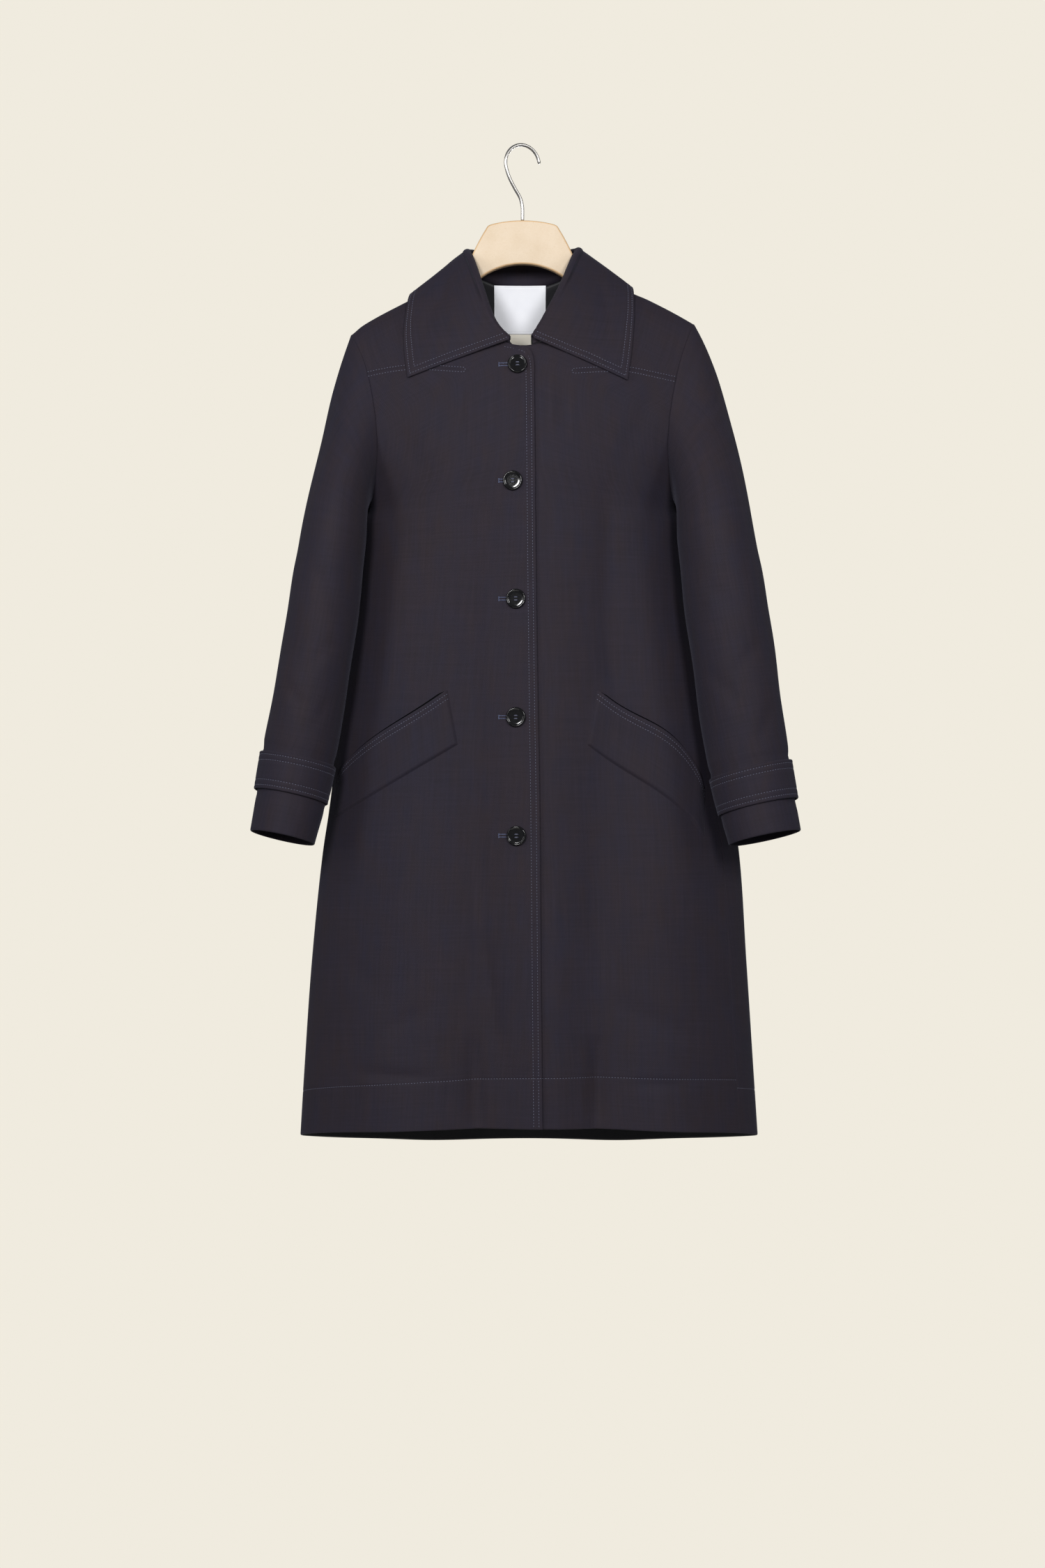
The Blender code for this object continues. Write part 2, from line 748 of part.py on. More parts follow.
def strap_faces(side):
    """The outer and inner face of a cuff strap, which stands off the sleeve at its outer edge."""
    faces = []
    for wall in (STRAP_WALL, 0.0):
        face = []
        for row in range(STRAP_ROWS + 1):
            height = STRAP_TOP[side] + STRAP_WIDTH * row / STRAP_ROWS
            points = []
            for turn in sleeve_turns(side):
                lift = SEAM + STRAP_LIFT * max(math.cos(turn), 0.0) ** 2
                points.append(sleeve_ring_point(side, turn, height, -lift - wall))
            face.append(points)
        faces.append(face)
    return faces


def build_sleeves(collection):
    """Sleeves and their straps."""
    for side in (RIGHT, LEFT):
        name = SIDE_NAMES[side]
        cloth_wall(f"sleeve_{name}", *sleeve_faces(side), CLOTH, collection, ring=True)
        cloth_wall(f"strap_{name}", *strap_faces(side), CLOTH, collection, ring=True)


def neck_seam(inset=0.0):
    """Points round the neckline from the right front end by the back to the left front end."""
    fronts = {}
    for side in (RIGHT, LEFT):
        heights = [(row["neck_out"], row["front"]) for row in UPPER_ROWS[NECK_START:]]
        fronts[side] = [body_point(angle_at(side, out, h), h, inset) for out, h in heights]
    path = back_centre_path(UPPER_ROWS[-1]["back"], UPPER_ROWS[-1]["centre"], tilted=False)
    back = [body_point(*place, inset) for place in spread(path, NECK_COLUMNS, body_point)]
    return fronts[RIGHT] + back[1:-1] + fronts[LEFT][::-1]


def neck_turns(seam):
    """The collar's turn at each point of the neckline: 0 to 1 along the front, 1 to 2 along the back."""
    front = len(UPPER_ROWS) - 1 - NECK_START
    middle = len(seam) // 2
    steps = [(second - first).length for first, second in zip(seam, seam[1:])]
    half = []
    for index in range(middle + 1):
        if index <= front:
            half.append(sum(steps[:index]) / sum(steps[:front]))
        else:
            half.append(1 + sum(steps[front:index]) / sum(steps[front:middle]))
    return half + half[-2::-1]


def collar_curve(rows, turn, side):
    """A point of one of the collar's guide curves."""
    out, forward, height = (smooth(rows[side], "turn", name)(turn) for name in ("out", "forward", "height"))
    return Vector((side * out, -forward, -height))


def clear_of_body(point):
    """A point moved out, where needed, so that it lies clear of the front or the back."""
    side = LEFT if point.x > 0 else RIGHT
    height = -point.z
    drop = height - shoulder_ridge(point.x)
    if drop <= 0:
        return point
    clear = COLLAR_CLEAR + COLLAR_RIDGE_CLEAR * math.exp(-drop / COLLAR_RIDGE_FADE)
    at_back = point.y > 0
    body = body_point(angle_at(side, abs(point.x), height, at_back), height).y
    result = point.copy()
    result.y = max(point.y, body + clear) if at_back else min(point.y, body - clear)
    return result


def collar_faces():
    """The under and upper face of the collar: up the stand, over the roll and down the fall."""
    seam, inner_seam = neck_seam(), neck_seam(WALL)
    turns = neck_turns(seam)
    count = len(seam)
    sides = [RIGHT if index < count / 2 else LEFT for index in range(count)]
    rolls = [collar_curve(COLLAR_ROLL, turn, side) for turn, side in zip(turns, sides)]
    above_neck = Vector((0.0, 0.0, -COLLAR_ROLL[RIGHT][-1]["height"]))
    columns = []
    for index in range(count):
        before, after = rolls[max(index - 1, 0)], rolls[min(index + 1, count - 1)]
        along = (after - before) * Vector((1.0, 1.0, 0.0))
        outwards = Vector((along.y, -along.x, 0.0)).normalized()
        if outwards.dot(rolls[index] * Vector((1.0, 1.0, 0.0))) < 0:
            outwards.negate()
        start = seam[index] + seam_step(seam, inner_seam, index, above_neck)
        middle = rolls[index] - Vector((0.0, 0.0, COLLAR_ROLL_RADIUS))
        edge = collar_curve(COLLAR_EDGE, turns[index], sides[index])
        stand_top = middle - outwards * COLLAR_ROLL_RADIUS
        points = [start.lerp(stand_top, row / COLLAR_STAND_ROWS) for row in range(COLLAR_STAND_ROWS)]
        for row in range(COLLAR_ROLL_ROWS + 1):
            angle = math.pi * (1 - row / COLLAR_ROLL_ROWS)
            points.append(middle + COLLAR_ROLL_RADIUS * (
                outwards * math.cos(angle) + Vector((0.0, 0.0, math.sin(angle)))))
        fall_top = points[-1]
        for row in range(1, COLLAR_FALL_ROWS + 1):
            share = row / COLLAR_FALL_ROWS
            swell = outwards * COLLAR_FALL_BULGE * 4 * share * (1 - share)
            points.append(clear_of_body(fall_top.lerp(edge, share) + swell))
        columns.append(points)
    under = [list(row) for row in zip(*columns)]
    upper = offset_face(under, COLLAR_WALL)
    upper[0] = [point + inner - outer for point, inner, outer in zip(under[0], inner_seam, seam)]
    return under, upper


def offset_face(face, distance):
    """A face moved along its normals, which point up where it is highest."""
    rows, columns = len(face), len(face[0])
    result = []
    for row in range(rows):
        points = []
        for column in range(columns):
            along = face[row][min(column + 1, columns - 1)] - face[row][max(column - 1, 0)]
            across = face[min(row + 1, rows - 1)][column] - face[max(row - 1, 0)][column]
            points.append(face[row][column] + along.cross(across).normalized() * distance)
        result.append(points)
    return result


def welt_faces(side):
    """The outer and inner face of a pocket welt, which lies on its front panel."""
    inner_top, inner_bottom = Vector(WELT["inner_top"]), Vector(WELT["inner_bottom"])
    outer_top, outer_bottom = Vector(WELT["outer_top"][side]), Vector(WELT["outer_bottom"][side])
    faces = []
    for wall in (WELT_WALL, 0.0):
        face = []
        for row in range(WELT_ROWS + 1):
            points = []
            for column in range(WELT_COLUMNS + 1):
                across, along = row / WELT_ROWS, column / WELT_COLUMNS
                inner, outer = inner_bottom.lerp(inner_top, across), outer_bottom.lerp(outer_top, across)
                place = inner.lerp(outer, along)
                arch = blend(WELT_ARCH_BOTTOM[side], WELT_ARCH_TOP[side], across)
                height = place.y - arch * 4 * along ** 2 * (1 - along ** 2)
                lift = WELT_GAP + WELT_END_GAP * along ** 2 + wall
                points.append(body_point(angle_at(side, place.x, height), height, -lift))
            face.append(points)
        faces.append(face)
    return faces


def build_collar_and_welts(collection):
    """The collar and the two pocket welts."""
    cloth_wall("collar", *collar_faces(), CLOTH, collection)
    for side in (RIGHT, LEFT):
        cloth_wall(f"welt_{SIDE_NAMES[side]}", *welt_faces(side), CLOTH, collection)


def button_mesh(cutters):
    """One button, turned from its profile and drilled with four holes."""
    profile = bmesh.new()
    verts = [profile.verts.new(Vector((p["radius"], 0.0, p["top"])) * METRES) for p in BUTTON_PROFILE]
    for first, second in zip(verts, verts[1:]):
        profile.edges.new((first, second))
    data = bpy.data.meshes.new("button_profile")
    profile.to_mesh(data)
    profile.free()
    turned = bpy.data.objects.new("button_profile", data)
    cutters.objects.link(turned)
    screw = turned.modifiers.new("turn", "SCREW")
    screw.steps = screw.render_steps = BUTTON_STEPS
    screw.use_merge_vertices = True
    screw.merge_threshold = BUTTON_WELD * METRES
    drills = bmesh.new()
    for corner in range(BUTTON_HOLES):
        angle = math.tau * (corner + 0.5) / BUTTON_HOLES
        hole = bmesh.ops.create_cone(
            drills, cap_ends=True, segments=BUTTON_HOLE_SIDES, radius1=BUTTON_HOLE_RADIUS * METRES,
            radius2=BUTTON_HOLE_RADIUS * METRES, depth=BUTTON_DRILL * METRES)
        move = Vector((math.cos(angle), math.sin(angle), 0.0)) * BUTTON_HOLE_CIRCLE * METRES
        bmesh.ops.translate(drills, verts=hole["verts"], vec=move)
    drill_data = bpy.data.meshes.new("button_drills")
    drills.to_mesh(drill_data)
    drills.free()
    drill = bpy.data.objects.new("button_drills", drill_data)
    cutters.objects.link(drill)
    cut = turned.modifiers.new("holes", "BOOLEAN")
    cut.operation = "DIFFERENCE"
    cut.object = drill
    bpy.context.view_layer.update()
    graph = bpy.context.evaluated_depsgraph_get()
    result = bpy.data.meshes.new_from_object(turned.evaluated_get(graph))
    bpy.data.objects.remove(turned)
    bpy.data.objects.remove(drill)
    result.name = "button"
    result.shade_smooth()
    result.set_sharp_from_angle(angle=BUTTON_SHARP)
    return result


def build_buttons(collection, cutters):
    """Five buttons down the lap, each square to the cloth under it."""
    mesh = button_mesh(cutters)
    for number, x in enumerate(BUTTON_XS):
        height = BUTTON_FIRST + BUTTON_PITCH * number
        angle = angle_at(RIGHT, -x, height)
        seat = body_point(angle, height)
        across = body_point(angle + BUTTON_SEAT_ANGLE, height) - seat
        up = body_point(angle, height - BUTTON_SEAT_HEIGHT) - body_point(angle, height + BUTTON_SEAT_HEIGHT)
        facing = across.cross(up).normalized()
        button = add_object(f"button_{number + 1}", mesh.copy(), BUTTON, collection)
        button.rotation_euler = facing.to_track_quat("Z", "Y").to_euler()
        button.location = (seat + facing * SEAM) * METRES


def inside_back_faces(middle_x, width, top, bottom, rows):
    """The two faces of a small piece of cloth that lies inside the back."""
    faces = []
    for inset in (WALL + LABEL_GAP, WALL + LABEL_GAP + LABEL_WALL):
        face = []
        for row in range(rows + 1):
            height = blend(top, bottom, row / rows)
            xs = [middle_x + width * (column / LABEL_COLUMNS - 0.5) for column in range(LABEL_COLUMNS + 1)]
            face.append([body_point(angle_at(LEFT if x > 0 else RIGHT, abs(x), height, True), height, inset)
                         for x in xs])
        faces.append(face)
    return faces


def build_labels(collection):
    """The neck label and the size tab."""
    label = inside_back_faces(LABEL_X, LABEL_WIDTH, LABEL_TOP, LABEL_BOTTOM, LABEL_ROWS)
    cloth_wall("label", *label, LABEL_CLOTH, collection)
    tab = inside_back_faces(TAB_X, TAB_WIDTH, TAB_TOP, TAB_BOTTOM, TAB_ROWS)
    cloth_wall("size_tab", *tab, TAB_CLOTH, collection)


def hanger_outline():
    """Half of the board's outline as out and height, from its top middle to its bottom middle."""
    points = [(row["out"], row["height"]) for row in HANGER_NECK]
    for step in range(HANGER_ARM_POINTS + 1):
        out = blend(HANGER_ARM_FROM, HANGER_ARM_TO, step / HANGER_ARM_POINTS)
        points.append((out, shoulder_ridge(out) + HANGER_ARM_GAP))
    points += [(row["out"], shoulder_ridge(row["out"]) + row["below_ridge"]) for row in HANGER_END]
    for step in range(HANGER_UNDER_POINTS + 1):
        share = step / HANGER_UNDER_POINTS
        out = blend(HANGER_UNDER_FROM, HANGER_UNDER_TO, share)
        points.append((out, shoulder_ridge(out) + blend(HANGER_UNDER_TIP, HANGER_UNDER_ROOT, share)))
    for step in range(HANGER_BOW_POINTS + 1):
        out = HANGER_BOW_OUT * (1 - step / HANGER_BOW_POINTS)
        rise = math.sqrt(HANGER_BOW_RADIUS ** 2 - out ** 2)
        points.append((out, HANGER_BOW_TOP + HANGER_BOW_RADIUS - rise))
    return points


def build_hanger(collection):
    """The board, as an extruded outline with round edges, and the wire hook."""
    half = hanger_outline()
    outline = half + [(-out, height) for out, height in half[-2:0:-1]]
    board = bpy.data.curves.new("hanger_body", "CURVE")
    board.dimensions = "2D"
    board.fill_mode = "BOTH"
    board.extrude = (HANGER_THICKNESS / 2 - HANGER_EDGE) * METRES
    board.bevel_depth = HANGER_EDGE * METRES
    board.bevel_resolution = 2
    board.offset = -HANGER_EDGE * METRES
    spline = board.splines.new("POLY")
    spline.points.add(len(outline) - 1)
    for point, (out, height) in zip(spline.points, outline):
        place = settled(Vector((out, 0.0, -height))) * METRES
        point.co = (place.x, place.z, 0.0, 1.0)
    spline.use_cyclic_u = True
    body = add_object("hanger_body", board, BOARD, collection)
    body.rotation_euler = (math.pi / 2, 0.0, 0.0)

    radius = HOOK_INNER + HOOK_WIRE / 2
    path = []
    for step in range(HOOK_ARC_POINTS + 1):
        angle = blend(HOOK_TIP, HOOK_HEEL, step / HOOK_ARC_POINTS)
        path.append((radius * math.sin(angle), HOOK_INNER - radius * math.cos(angle)))
    path += [(row["across"], row["height"]) for row in HOOK_STEM]
    wire = bpy.data.curves.new("hanger_hook", "CURVE")
    wire.dimensions = "3D"
    wire.bevel_depth = HOOK_WIRE / 2 * METRES
    wire.bevel_resolution = 2
    wire.use_fill_caps = True
    spline = wire.splines.new("POLY")
    spline.points.add(len(path) - 1)
    for point, (across, height) in zip(spline.points, path):
        point.co = (across * METRES, 0.0, -height * METRES, 1.0)
    hook = add_object("hanger_hook", wire, STEEL, collection)
    hook.rotation_euler = (0.0, 0.0, HOOK_TURN)


def main():
    """Clear the scene and build the coat."""
    for item in list(bpy.data.objects):
        bpy.data.objects.remove(item)
    collection = bpy.data.collections.new(OBJECT_NAME)
    cutters = bpy.data.collections.new("cutters")
    for group in (collection, cutters):
        bpy.context.scene.collection.children.link(group)
    build_body(collection)
    build_sleeves(collection)
    build_collar_and_welts(collection)
    build_buttons(collection, cutters)
    build_labels(collection)
    build_hanger(collection)


main()
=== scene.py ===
"""Looks of the gabardine coat on its hanger.

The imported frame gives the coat's solids. Each piece of cloth is laid here again as a finer shell on the
same surface, with rounded edges, pressed stitch lines and creases, and is then sewn, buttoned and dressed.
Sizes are in millimetres and become metres when a mesh is placed. A height is a distance below the origin,
an out is a distance from the middle plane, and an angle runs round the body from the front, positive to
the wearer's left, which lies at +X. The front faces -Y.
"""
import logging
import math
from dataclasses import dataclass, field
from enum import Enum
from typing import Any, Callable, Sequence

import bmesh
import bpy
import numpy as np
from mathutils import Matrix, Vector


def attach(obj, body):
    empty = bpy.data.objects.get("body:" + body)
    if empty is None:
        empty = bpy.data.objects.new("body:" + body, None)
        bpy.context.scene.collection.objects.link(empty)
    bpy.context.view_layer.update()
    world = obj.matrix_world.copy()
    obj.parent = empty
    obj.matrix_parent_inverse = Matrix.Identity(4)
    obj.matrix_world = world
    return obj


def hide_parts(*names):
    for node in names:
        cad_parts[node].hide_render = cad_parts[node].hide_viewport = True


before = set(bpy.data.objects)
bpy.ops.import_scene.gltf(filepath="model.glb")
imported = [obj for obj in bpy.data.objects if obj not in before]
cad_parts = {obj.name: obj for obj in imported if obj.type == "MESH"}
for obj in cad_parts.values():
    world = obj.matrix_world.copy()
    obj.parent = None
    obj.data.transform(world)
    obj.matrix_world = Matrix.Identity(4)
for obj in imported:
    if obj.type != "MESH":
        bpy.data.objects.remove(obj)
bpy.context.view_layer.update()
LOG = logging.getLogger("coat")
METRES = 0.001
STITCH_PULL = 0.9
FLAT_MAP = "flat"
Array = np.ndarray
Path = Callable[[Array], tuple[Array, Array]]
Layer = Callable[..., Array]
Material = bpy.types.Material
Pair = tuple[float, float]
Triple = tuple[float, float, float]
Colour = tuple[float, float, float, float]


class Side(Enum):
    """The wearer's two sides. The value is the sign of x there."""
    RIGHT = -1
    LEFT = 1

    @property
    def label(self) -> str:
        """The side's word in node names."""
        return self.name.lower()


def ease(share: Array) -> Array:
    """A smooth step from 0 to 1."""
    share = np.clip(share, 0.0, 1.0)
    return share * share * (3.0 - 2.0 * share)


def unit(vectors: Array) -> Array:
    """Vectors of length one."""
    return vectors / np.maximum(np.linalg.norm(vectors, axis=-1, keepdims=True), 1e-9)


def run_lengths(points: Array) -> Array:
    """The distance along a line of points to each of them."""
    return np.concatenate(([0.0], np.cumsum(np.linalg.norm(np.diff(points, axis=0), axis=-1))))


def rounded(distance: Array, radius: float) -> Array:
    """The share of a wall's thickness near a round edge.

    Args:
        distance: Distances from the edge.
        radius: The distance at which the wall is whole.

    Returns:
        Shares from a quarter at the edge to one inside.
    """
    inside = np.clip(np.asarray(distance) / radius, 0.0, 1.0)
    return 0.25 + 0.75 * np.sqrt(1.0 - (1.0 - inside) ** 2)


def pressed(distance: Array, rows: Sequence[float], depth: float) -> Array:
    """How deep rows of stitches pull the cloth in.

    Args:
        distance: Distances from the edge that the rows follow.
        rows: The rows' distances from that edge.
        depth: The depth at a row.

    Returns:
        The depths.
    """
    return sum(depth * np.exp(-((distance - row) / STITCH_PULL) ** 2) for row in rows)


def hermite(share: Array, first: Array, leaving: Array, last: Array, arriving: Array) -> Array:
    """Points of the cubic curve between two ends.

    Args:
        share: Shares of the way along the curve.
        first: The start.
        leaving: The speed at the start.
        last: The end.
        arriving: The speed at the end.

    Returns:
        The points.
    """
    square, cube = share ** 2, share ** 3
    return (first * (2 * cube - 3 * square + 1) + leaving * (cube - 2 * square + share)
            + last * (3 * square - 2 * cube) + arriving * (cube - square))


def resample(values: Array, places: Array, at: Array) -> Array:
    """Values read from a smooth curve through the given ones, level beyond its ends.

    Args:
        values: Values along the first axis.
        places: The place of each value.
        at: The places to read.

    Returns:
        One value for each place in at.
    """
    values, places = np.asarray(values, float), np.asarray(places, float)
    wide = (slice(None),) + (None,) * (values.ndim - 1)
    rises = np.diff(values, axis=0) / np.diff(places)[wide]
    slopes = np.concatenate((rises[:1], (rises[1:] + rises[:-1]) / 2, rises[-1:]))
    inside = np.clip(np.asarray(at, float), places[0], places[-1])
    index = np.clip(np.searchsorted(places, inside, side="right") - 1, 0, len(places) - 2)
    span = places[index + 1] - places[index]
    share = (inside - places[index]) / span
    if values.ndim > 1:
        share, span = share[wide], span[wide]
    return hermite(share, values[index], slopes[index] * span, values[index + 1], slopes[index + 1] * span)


class Curves:
    """Smooth curves of a table's columns against its first one."""

    def __init__(self, names: str, *rows: Sequence[float]) -> None:
        """Keep the table.

        Args:
            names: The columns' names.
            rows: The table's rows.
        """
        self.names = names.split()
        self.table = np.asarray(rows, float)

    def __call__(self, name: str, place: Array) -> Array:
        """The named column's values at the places."""
        return resample(self.table[:, self.names.index(name)], self.table[:, 0], place)


@dataclass(frozen=True)
class Fold:
    """A fold that hangs from the chest to the hem. A negative depth makes a ridge."""
    top_x: float
    hem_x: float
    from_height: float
    depth: float
    top_width: float
    hem_width: float
    growth: float = 0.8

    def relief(self, x: Array, height: Array, hem: float) -> Array:
        """How far the fold presses the cloth inwards.

        Args:
            x: Places across the body.
            height: Places down the body.
            hem: The hem's height.

        Returns:
            The depths.
        """
        share = np.maximum((height - self.from_height) / (hem - self.from_height), 0.0)
        middle = self.top_x + (self.hem_x - self.top_x) * share
        width = self.top_width + (self.hem_width - self.top_width) * share
        return self.depth * share ** self.growth * np.exp(-((x - middle) / width) ** 2)


@dataclass(frozen=True)
class Crease:
    """A soft trough along a line on the cloth, across and down. A negative depth makes a ridge."""
    start: Pair
    end: Pair
    depth: float
    width: float
    fade: float = 0.6

    def relief(self, across: Array, down: Array) -> Array:
        """How far the crease presses the cloth inwards.

        Args:
            across: Places across the cloth.
            down: Places down the cloth.

        Returns:
            The depths, less towards the crease's ends.
        """
        line = np.subtract(self.end, self.start)
        aside, below = across - self.start[0], down - self.start[1]
        share = np.clip((aside * line[0] + below * line[1]) / (line @ line), 0.0, 1.0)
        gap = np.hypot(aside - share * line[0], below - share * line[1])
        return self.depth * (1.0 - self.fade * (2.0 * share - 1.0) ** 2) * np.exp(-(gap / self.width) ** 2)


def creased(*rows: Sequence[float]) -> tuple[Crease, ...]:
    """Creases from rows of their start, end, depth and width."""
    return tuple(Crease(row[:2], row[2:4], row[4], row[5]) for row in rows)


@dataclass
class ShoulderLine:
    """The line of the shoulders over the hanger's arms, and how far each side has settled below it."""
    neck_out: float = 72.0
    neck_height: float = 140.0
    slope: float = 0.585
    round: float = 40.0
    settle_fade: float = 100.0
    settle: Curves = field(default_factory=lambda: Curves(
        "out right left",
        (60, 0, 0), (80, 2, 1.2), (95, 5, 1.9), (110, 6.8, 2), (130, 7, 0.6), (145, 6.3, -1.6),
        (160, 5.5, -2.8), (175, 5.1, -3.6), (190, 5.8, -3.9), (200, 8.6, -3.8), (215, 9.6, -3.5),
    ))

    def ridge(self, out: Array) -> Array:
        """The height of the shoulder line."""
        rise = np.hypot(out, self.round) - math.hypot(self.neck_out, self.round)
        return self.neck_height + self.slope * rise

    def settled(self, points: Array) -> Array:
        """Lower points as far as their shoulder has settled.

        Args:
            points: The points.

        Returns:
            The lowered points.
        """
        x, out = points[..., 0], np.abs(points[..., 0])
        lower = np.where(x > 0, self.settle("left", out), self.settle("right", out))
        lower = lower * (1.0 - ease((-points[..., 2] - self.ridge(out)) / self.settle_fade))
        return points - lower[..., None] * np.asarray((0.0, 0.0, 1.0))


SHOULDERS = ShoulderLine()


@dataclass
class BodySurface:
    """The hanging body's surface, from the shoulder line to the hem."""
    wall: float = 2.0
    chest_drop: float = 260.0
    fullness_power: float = 1.8
    ridge_fade: float = 15.0
    ridge_stretch: float = 1.14
    hem: float = 1163.0
    hem_tilt: float = 0.17
    hem_tilt_from: float = 800.0
    underarm: float = 428.0
    seam_turn_right: float = math.radians(6)
    seam_turn_left: float = math.radians(-24)
    seam_turn_by: float = 800.0
    fold_side_fade: float = 0.45
    lap_top_height: float = 250.0
    lap_top: float = 13.5
    lap_hem: float = 22.0
    lap_margin: float = 6.0
    lap_ramp: float = 14.0
    lap_gap: float = 0.7
    lap_curl: float = 0.4
    lap_curl_width: float = 13.0
    sizes: Curves = field(default_factory=lambda: Curves(
        "height right left front back",
        (100, 255, 255, 70, 66), (217, 255, 255, 74, 70), (330, 222, 222, 84, 78),
        (428, 182, 182, 87, 80), (443, 188, 188, 87, 80), (470, 189, 189, 88, 81),
        (535, 195, 196, 90, 83), (600, 205, 209, 92, 85), (713, 222.2, 236.5, 96, 88),
        (745, 223.4, 241.5, 97.1, 89.1), (785, 228.2, 247.8, 98.5, 90.5), (828, 234.7, 254.5, 100, 92),
        (959, 248, 263.5, 105, 97), (1090, 257, 272, 109, 101), (1190, 263, 278.5, 112, 104),
    ))
    armhole: Curves = field(default_factory=lambda: Curves(
        "height front back",
        (212.3, 202, 202), (250, 187, 192), (300, 175, 182), (350, 169.5, 178), (390, 171.5, 178),
        (415, 176, 179), (428, 182, 182),
    ))
    front_folds: tuple[Fold, ...] = (
        Fold(-58, -47, 330, 15, 30, 42),
        Fold(105, 86, 330, 15, 30, 45),
        Fold(-135, -160, 420, -9, 40, 55),
        Fold(165, 182, 420, -9, 40, 50),
    )
    back_folds: tuple[Fold, ...] = (
        Fold(-95, -112, 420, 13, 35, 50),
        Fold(0, 5, 420, -10, 40, 55),
        Fold(98, 115, 420, 13, 35, 50),
    )
    front_creases: tuple[Crease, ...] = creased(
        (-63, 450, -56, 760, 2.2, 12.0), (-57, 760, -50, 940, 3.0, 11.0),
        (-48, 930, -30, 1045, 3.6, 11.0), (-56, 1050, -52, 1150, 6.0, 10.0),
        (-186, 1082, -104, 1085, 2.6, 7.0), (-150, 1030, -112, 1008, 2.0, 9.0),
        (-205, 950, -165, 990, 1.5, 13.0), (-128, 830, -150, 930, -1.6, 16.0),
        (-71, 290, -68, 352, 1.5, 8.0), (-150, 330, -112, 395, 1.2, 12.0),
        (-165, 395, -140, 470, 1.6, 13.0), (46, 286, 47, 338, 1.9, 7.0), (97, 410, 100, 620, 2.6, 12.0),
        (101, 600, 112, 650, 2.2, 10.0), (86, 1050, 85, 1150, 6.6, 10.0), (80, 820, 92, 960, 2.4, 16.0),
        (118, 1004, 190, 1040, 2.4, 14.0), (140, 880, 172, 962, -1.6, 15.0),
        (150, 298, 120, 372, 1.3, 11.0), (166, 390, 140, 470, 1.7, 13.0),
        (130, 1092, 188, 1096, 1.8, 8.0), (-20, 1090, 12, 1082, 1.2, 12.0),
    )
    back_creases: tuple[Crease, ...] = creased(
        (-118, 330, -60, 415, 1.8, 13.0), (124, 318, 70, 404, 1.6, 12.0),
        (-40, 250, 36, 268, 1.4, 11.0), (-97, 520, -104, 760, 2.4, 14.0),
        (-106, 790, -112, 1010, 2.8, 13.0), (99, 560, 106, 830, 2.6, 14.0),
        (108, 870, 117, 1060, 3.0, 13.0), (-20, 700, 14, 860, -1.4, 18.0),
        (-170, 1088, -88, 1098, 2.2, 8.0), (40, 1100, 150, 1090, 2.0, 8.0),
        (-168, 450, -120, 520, 1.6, 13.0), (170, 446, 126, 530, 1.7, 13.0),
    )

    def fullness(self, drop: Array) -> Array:
        """The share of the full depth that the cloth has at a drop below the shoulder line."""
        share = np.clip(drop / self.chest_drop, 0.0, 1.0)
        return (1.0 - (1.0 - share) ** self.fullness_power) ** (1.0 / self.fullness_power)

    def drift(self, x: Array, height: Array) -> Array:
        """Slow unevenness of the hanging cloth."""
        return (0.7 * np.sin(x / 29.0 + height / 141.0) + 0.5 * np.sin(x / 17.0 - height / 93.0 + 1.3)
                + 0.45 * np.sin(x / 43.0 - height / 47.0 + 0.6)) * ease((height - 240.0) / 160.0)

    def relief(self, x: Array, height: Array, front: Array) -> Array:
        """How far the folds and creases press the cloth inwards.

        Args:
            x: Places across the body.
            height: Places down the body.
            front: Where the cloth faces forwards.

        Returns:
            The depths.
        """
        before = sum(fold.relief(x, height, self.hem) for fold in self.front_folds)
        before = before + sum(crease.relief(x, height) for crease in self.front_creases)
        behind = sum(fold.relief(x, height, self.hem) for fold in self.back_folds)
        behind = behind + sum(crease.relief(x, height) for crease in self.back_creases)
        return np.where(front, before, behind) + self.drift(x, height)

    def point(self, angle: Array, height: Array, inset: Array = 0.0) -> Array:
        """Points of the body's cloth.

        Args:
            angle: Angles round the body.
            height: Heights.
            inset: Depths below the outer face.

        Returns:
            The points.
        """
        angle, height, inset = np.broadcast_arrays(np.asarray(angle, float), height, inset)
        across, facing = np.sin(angle), np.cos(angle)
        half = np.where(across > 0, self.sizes("left", height), self.sizes("right", height))
        x = (half - inset) * across
        drop = np.maximum(height - SHOULDERS.ridge(x), 0.0)
        near = np.exp(-drop / self.ridge_fade)
        lowered = inset * self.ridge_stretch
        front = facing > 0
        depth = np.where(front, self.sizes("front", height), self.sizes("back", height))
        reach = (depth - inset) * self.fullness(drop - lowered * (1.0 - near)) * np.abs(facing)
        reach = reach - self.relief(x, height, front) * ease(np.abs(facing) / self.fold_side_fade)
        return np.stack((x, np.where(front, -reach, reach), -(height + lowered * near)), axis=-1)

    def lap_edge(self, height: Array) -> Array:
        """The x of the right front's edge."""
        share = (height - self.lap_top_height) / (self.hem - self.lap_top_height)
        return self.lap_top + (self.lap_hem - self.lap_top) * share

    def underlap_point(self, angle: Array, height: Array, inset: Array = 0.0) -> Array:
        """Points of the left front, which dips behind the right front's lap.

        Args:
            angle: Angles round the body.
            height: Heights.
            inset: Depths below the outer face.

        Returns:
            The points.
        """
        points = self.point(angle, height, inset)
        past = self.lap_edge(height) + self.lap_margin + self.lap_ramp - points[..., 0]
        points[..., 1] += (self.wall + self.lap_gap) * ease(past / self.lap_ramp)
        return points

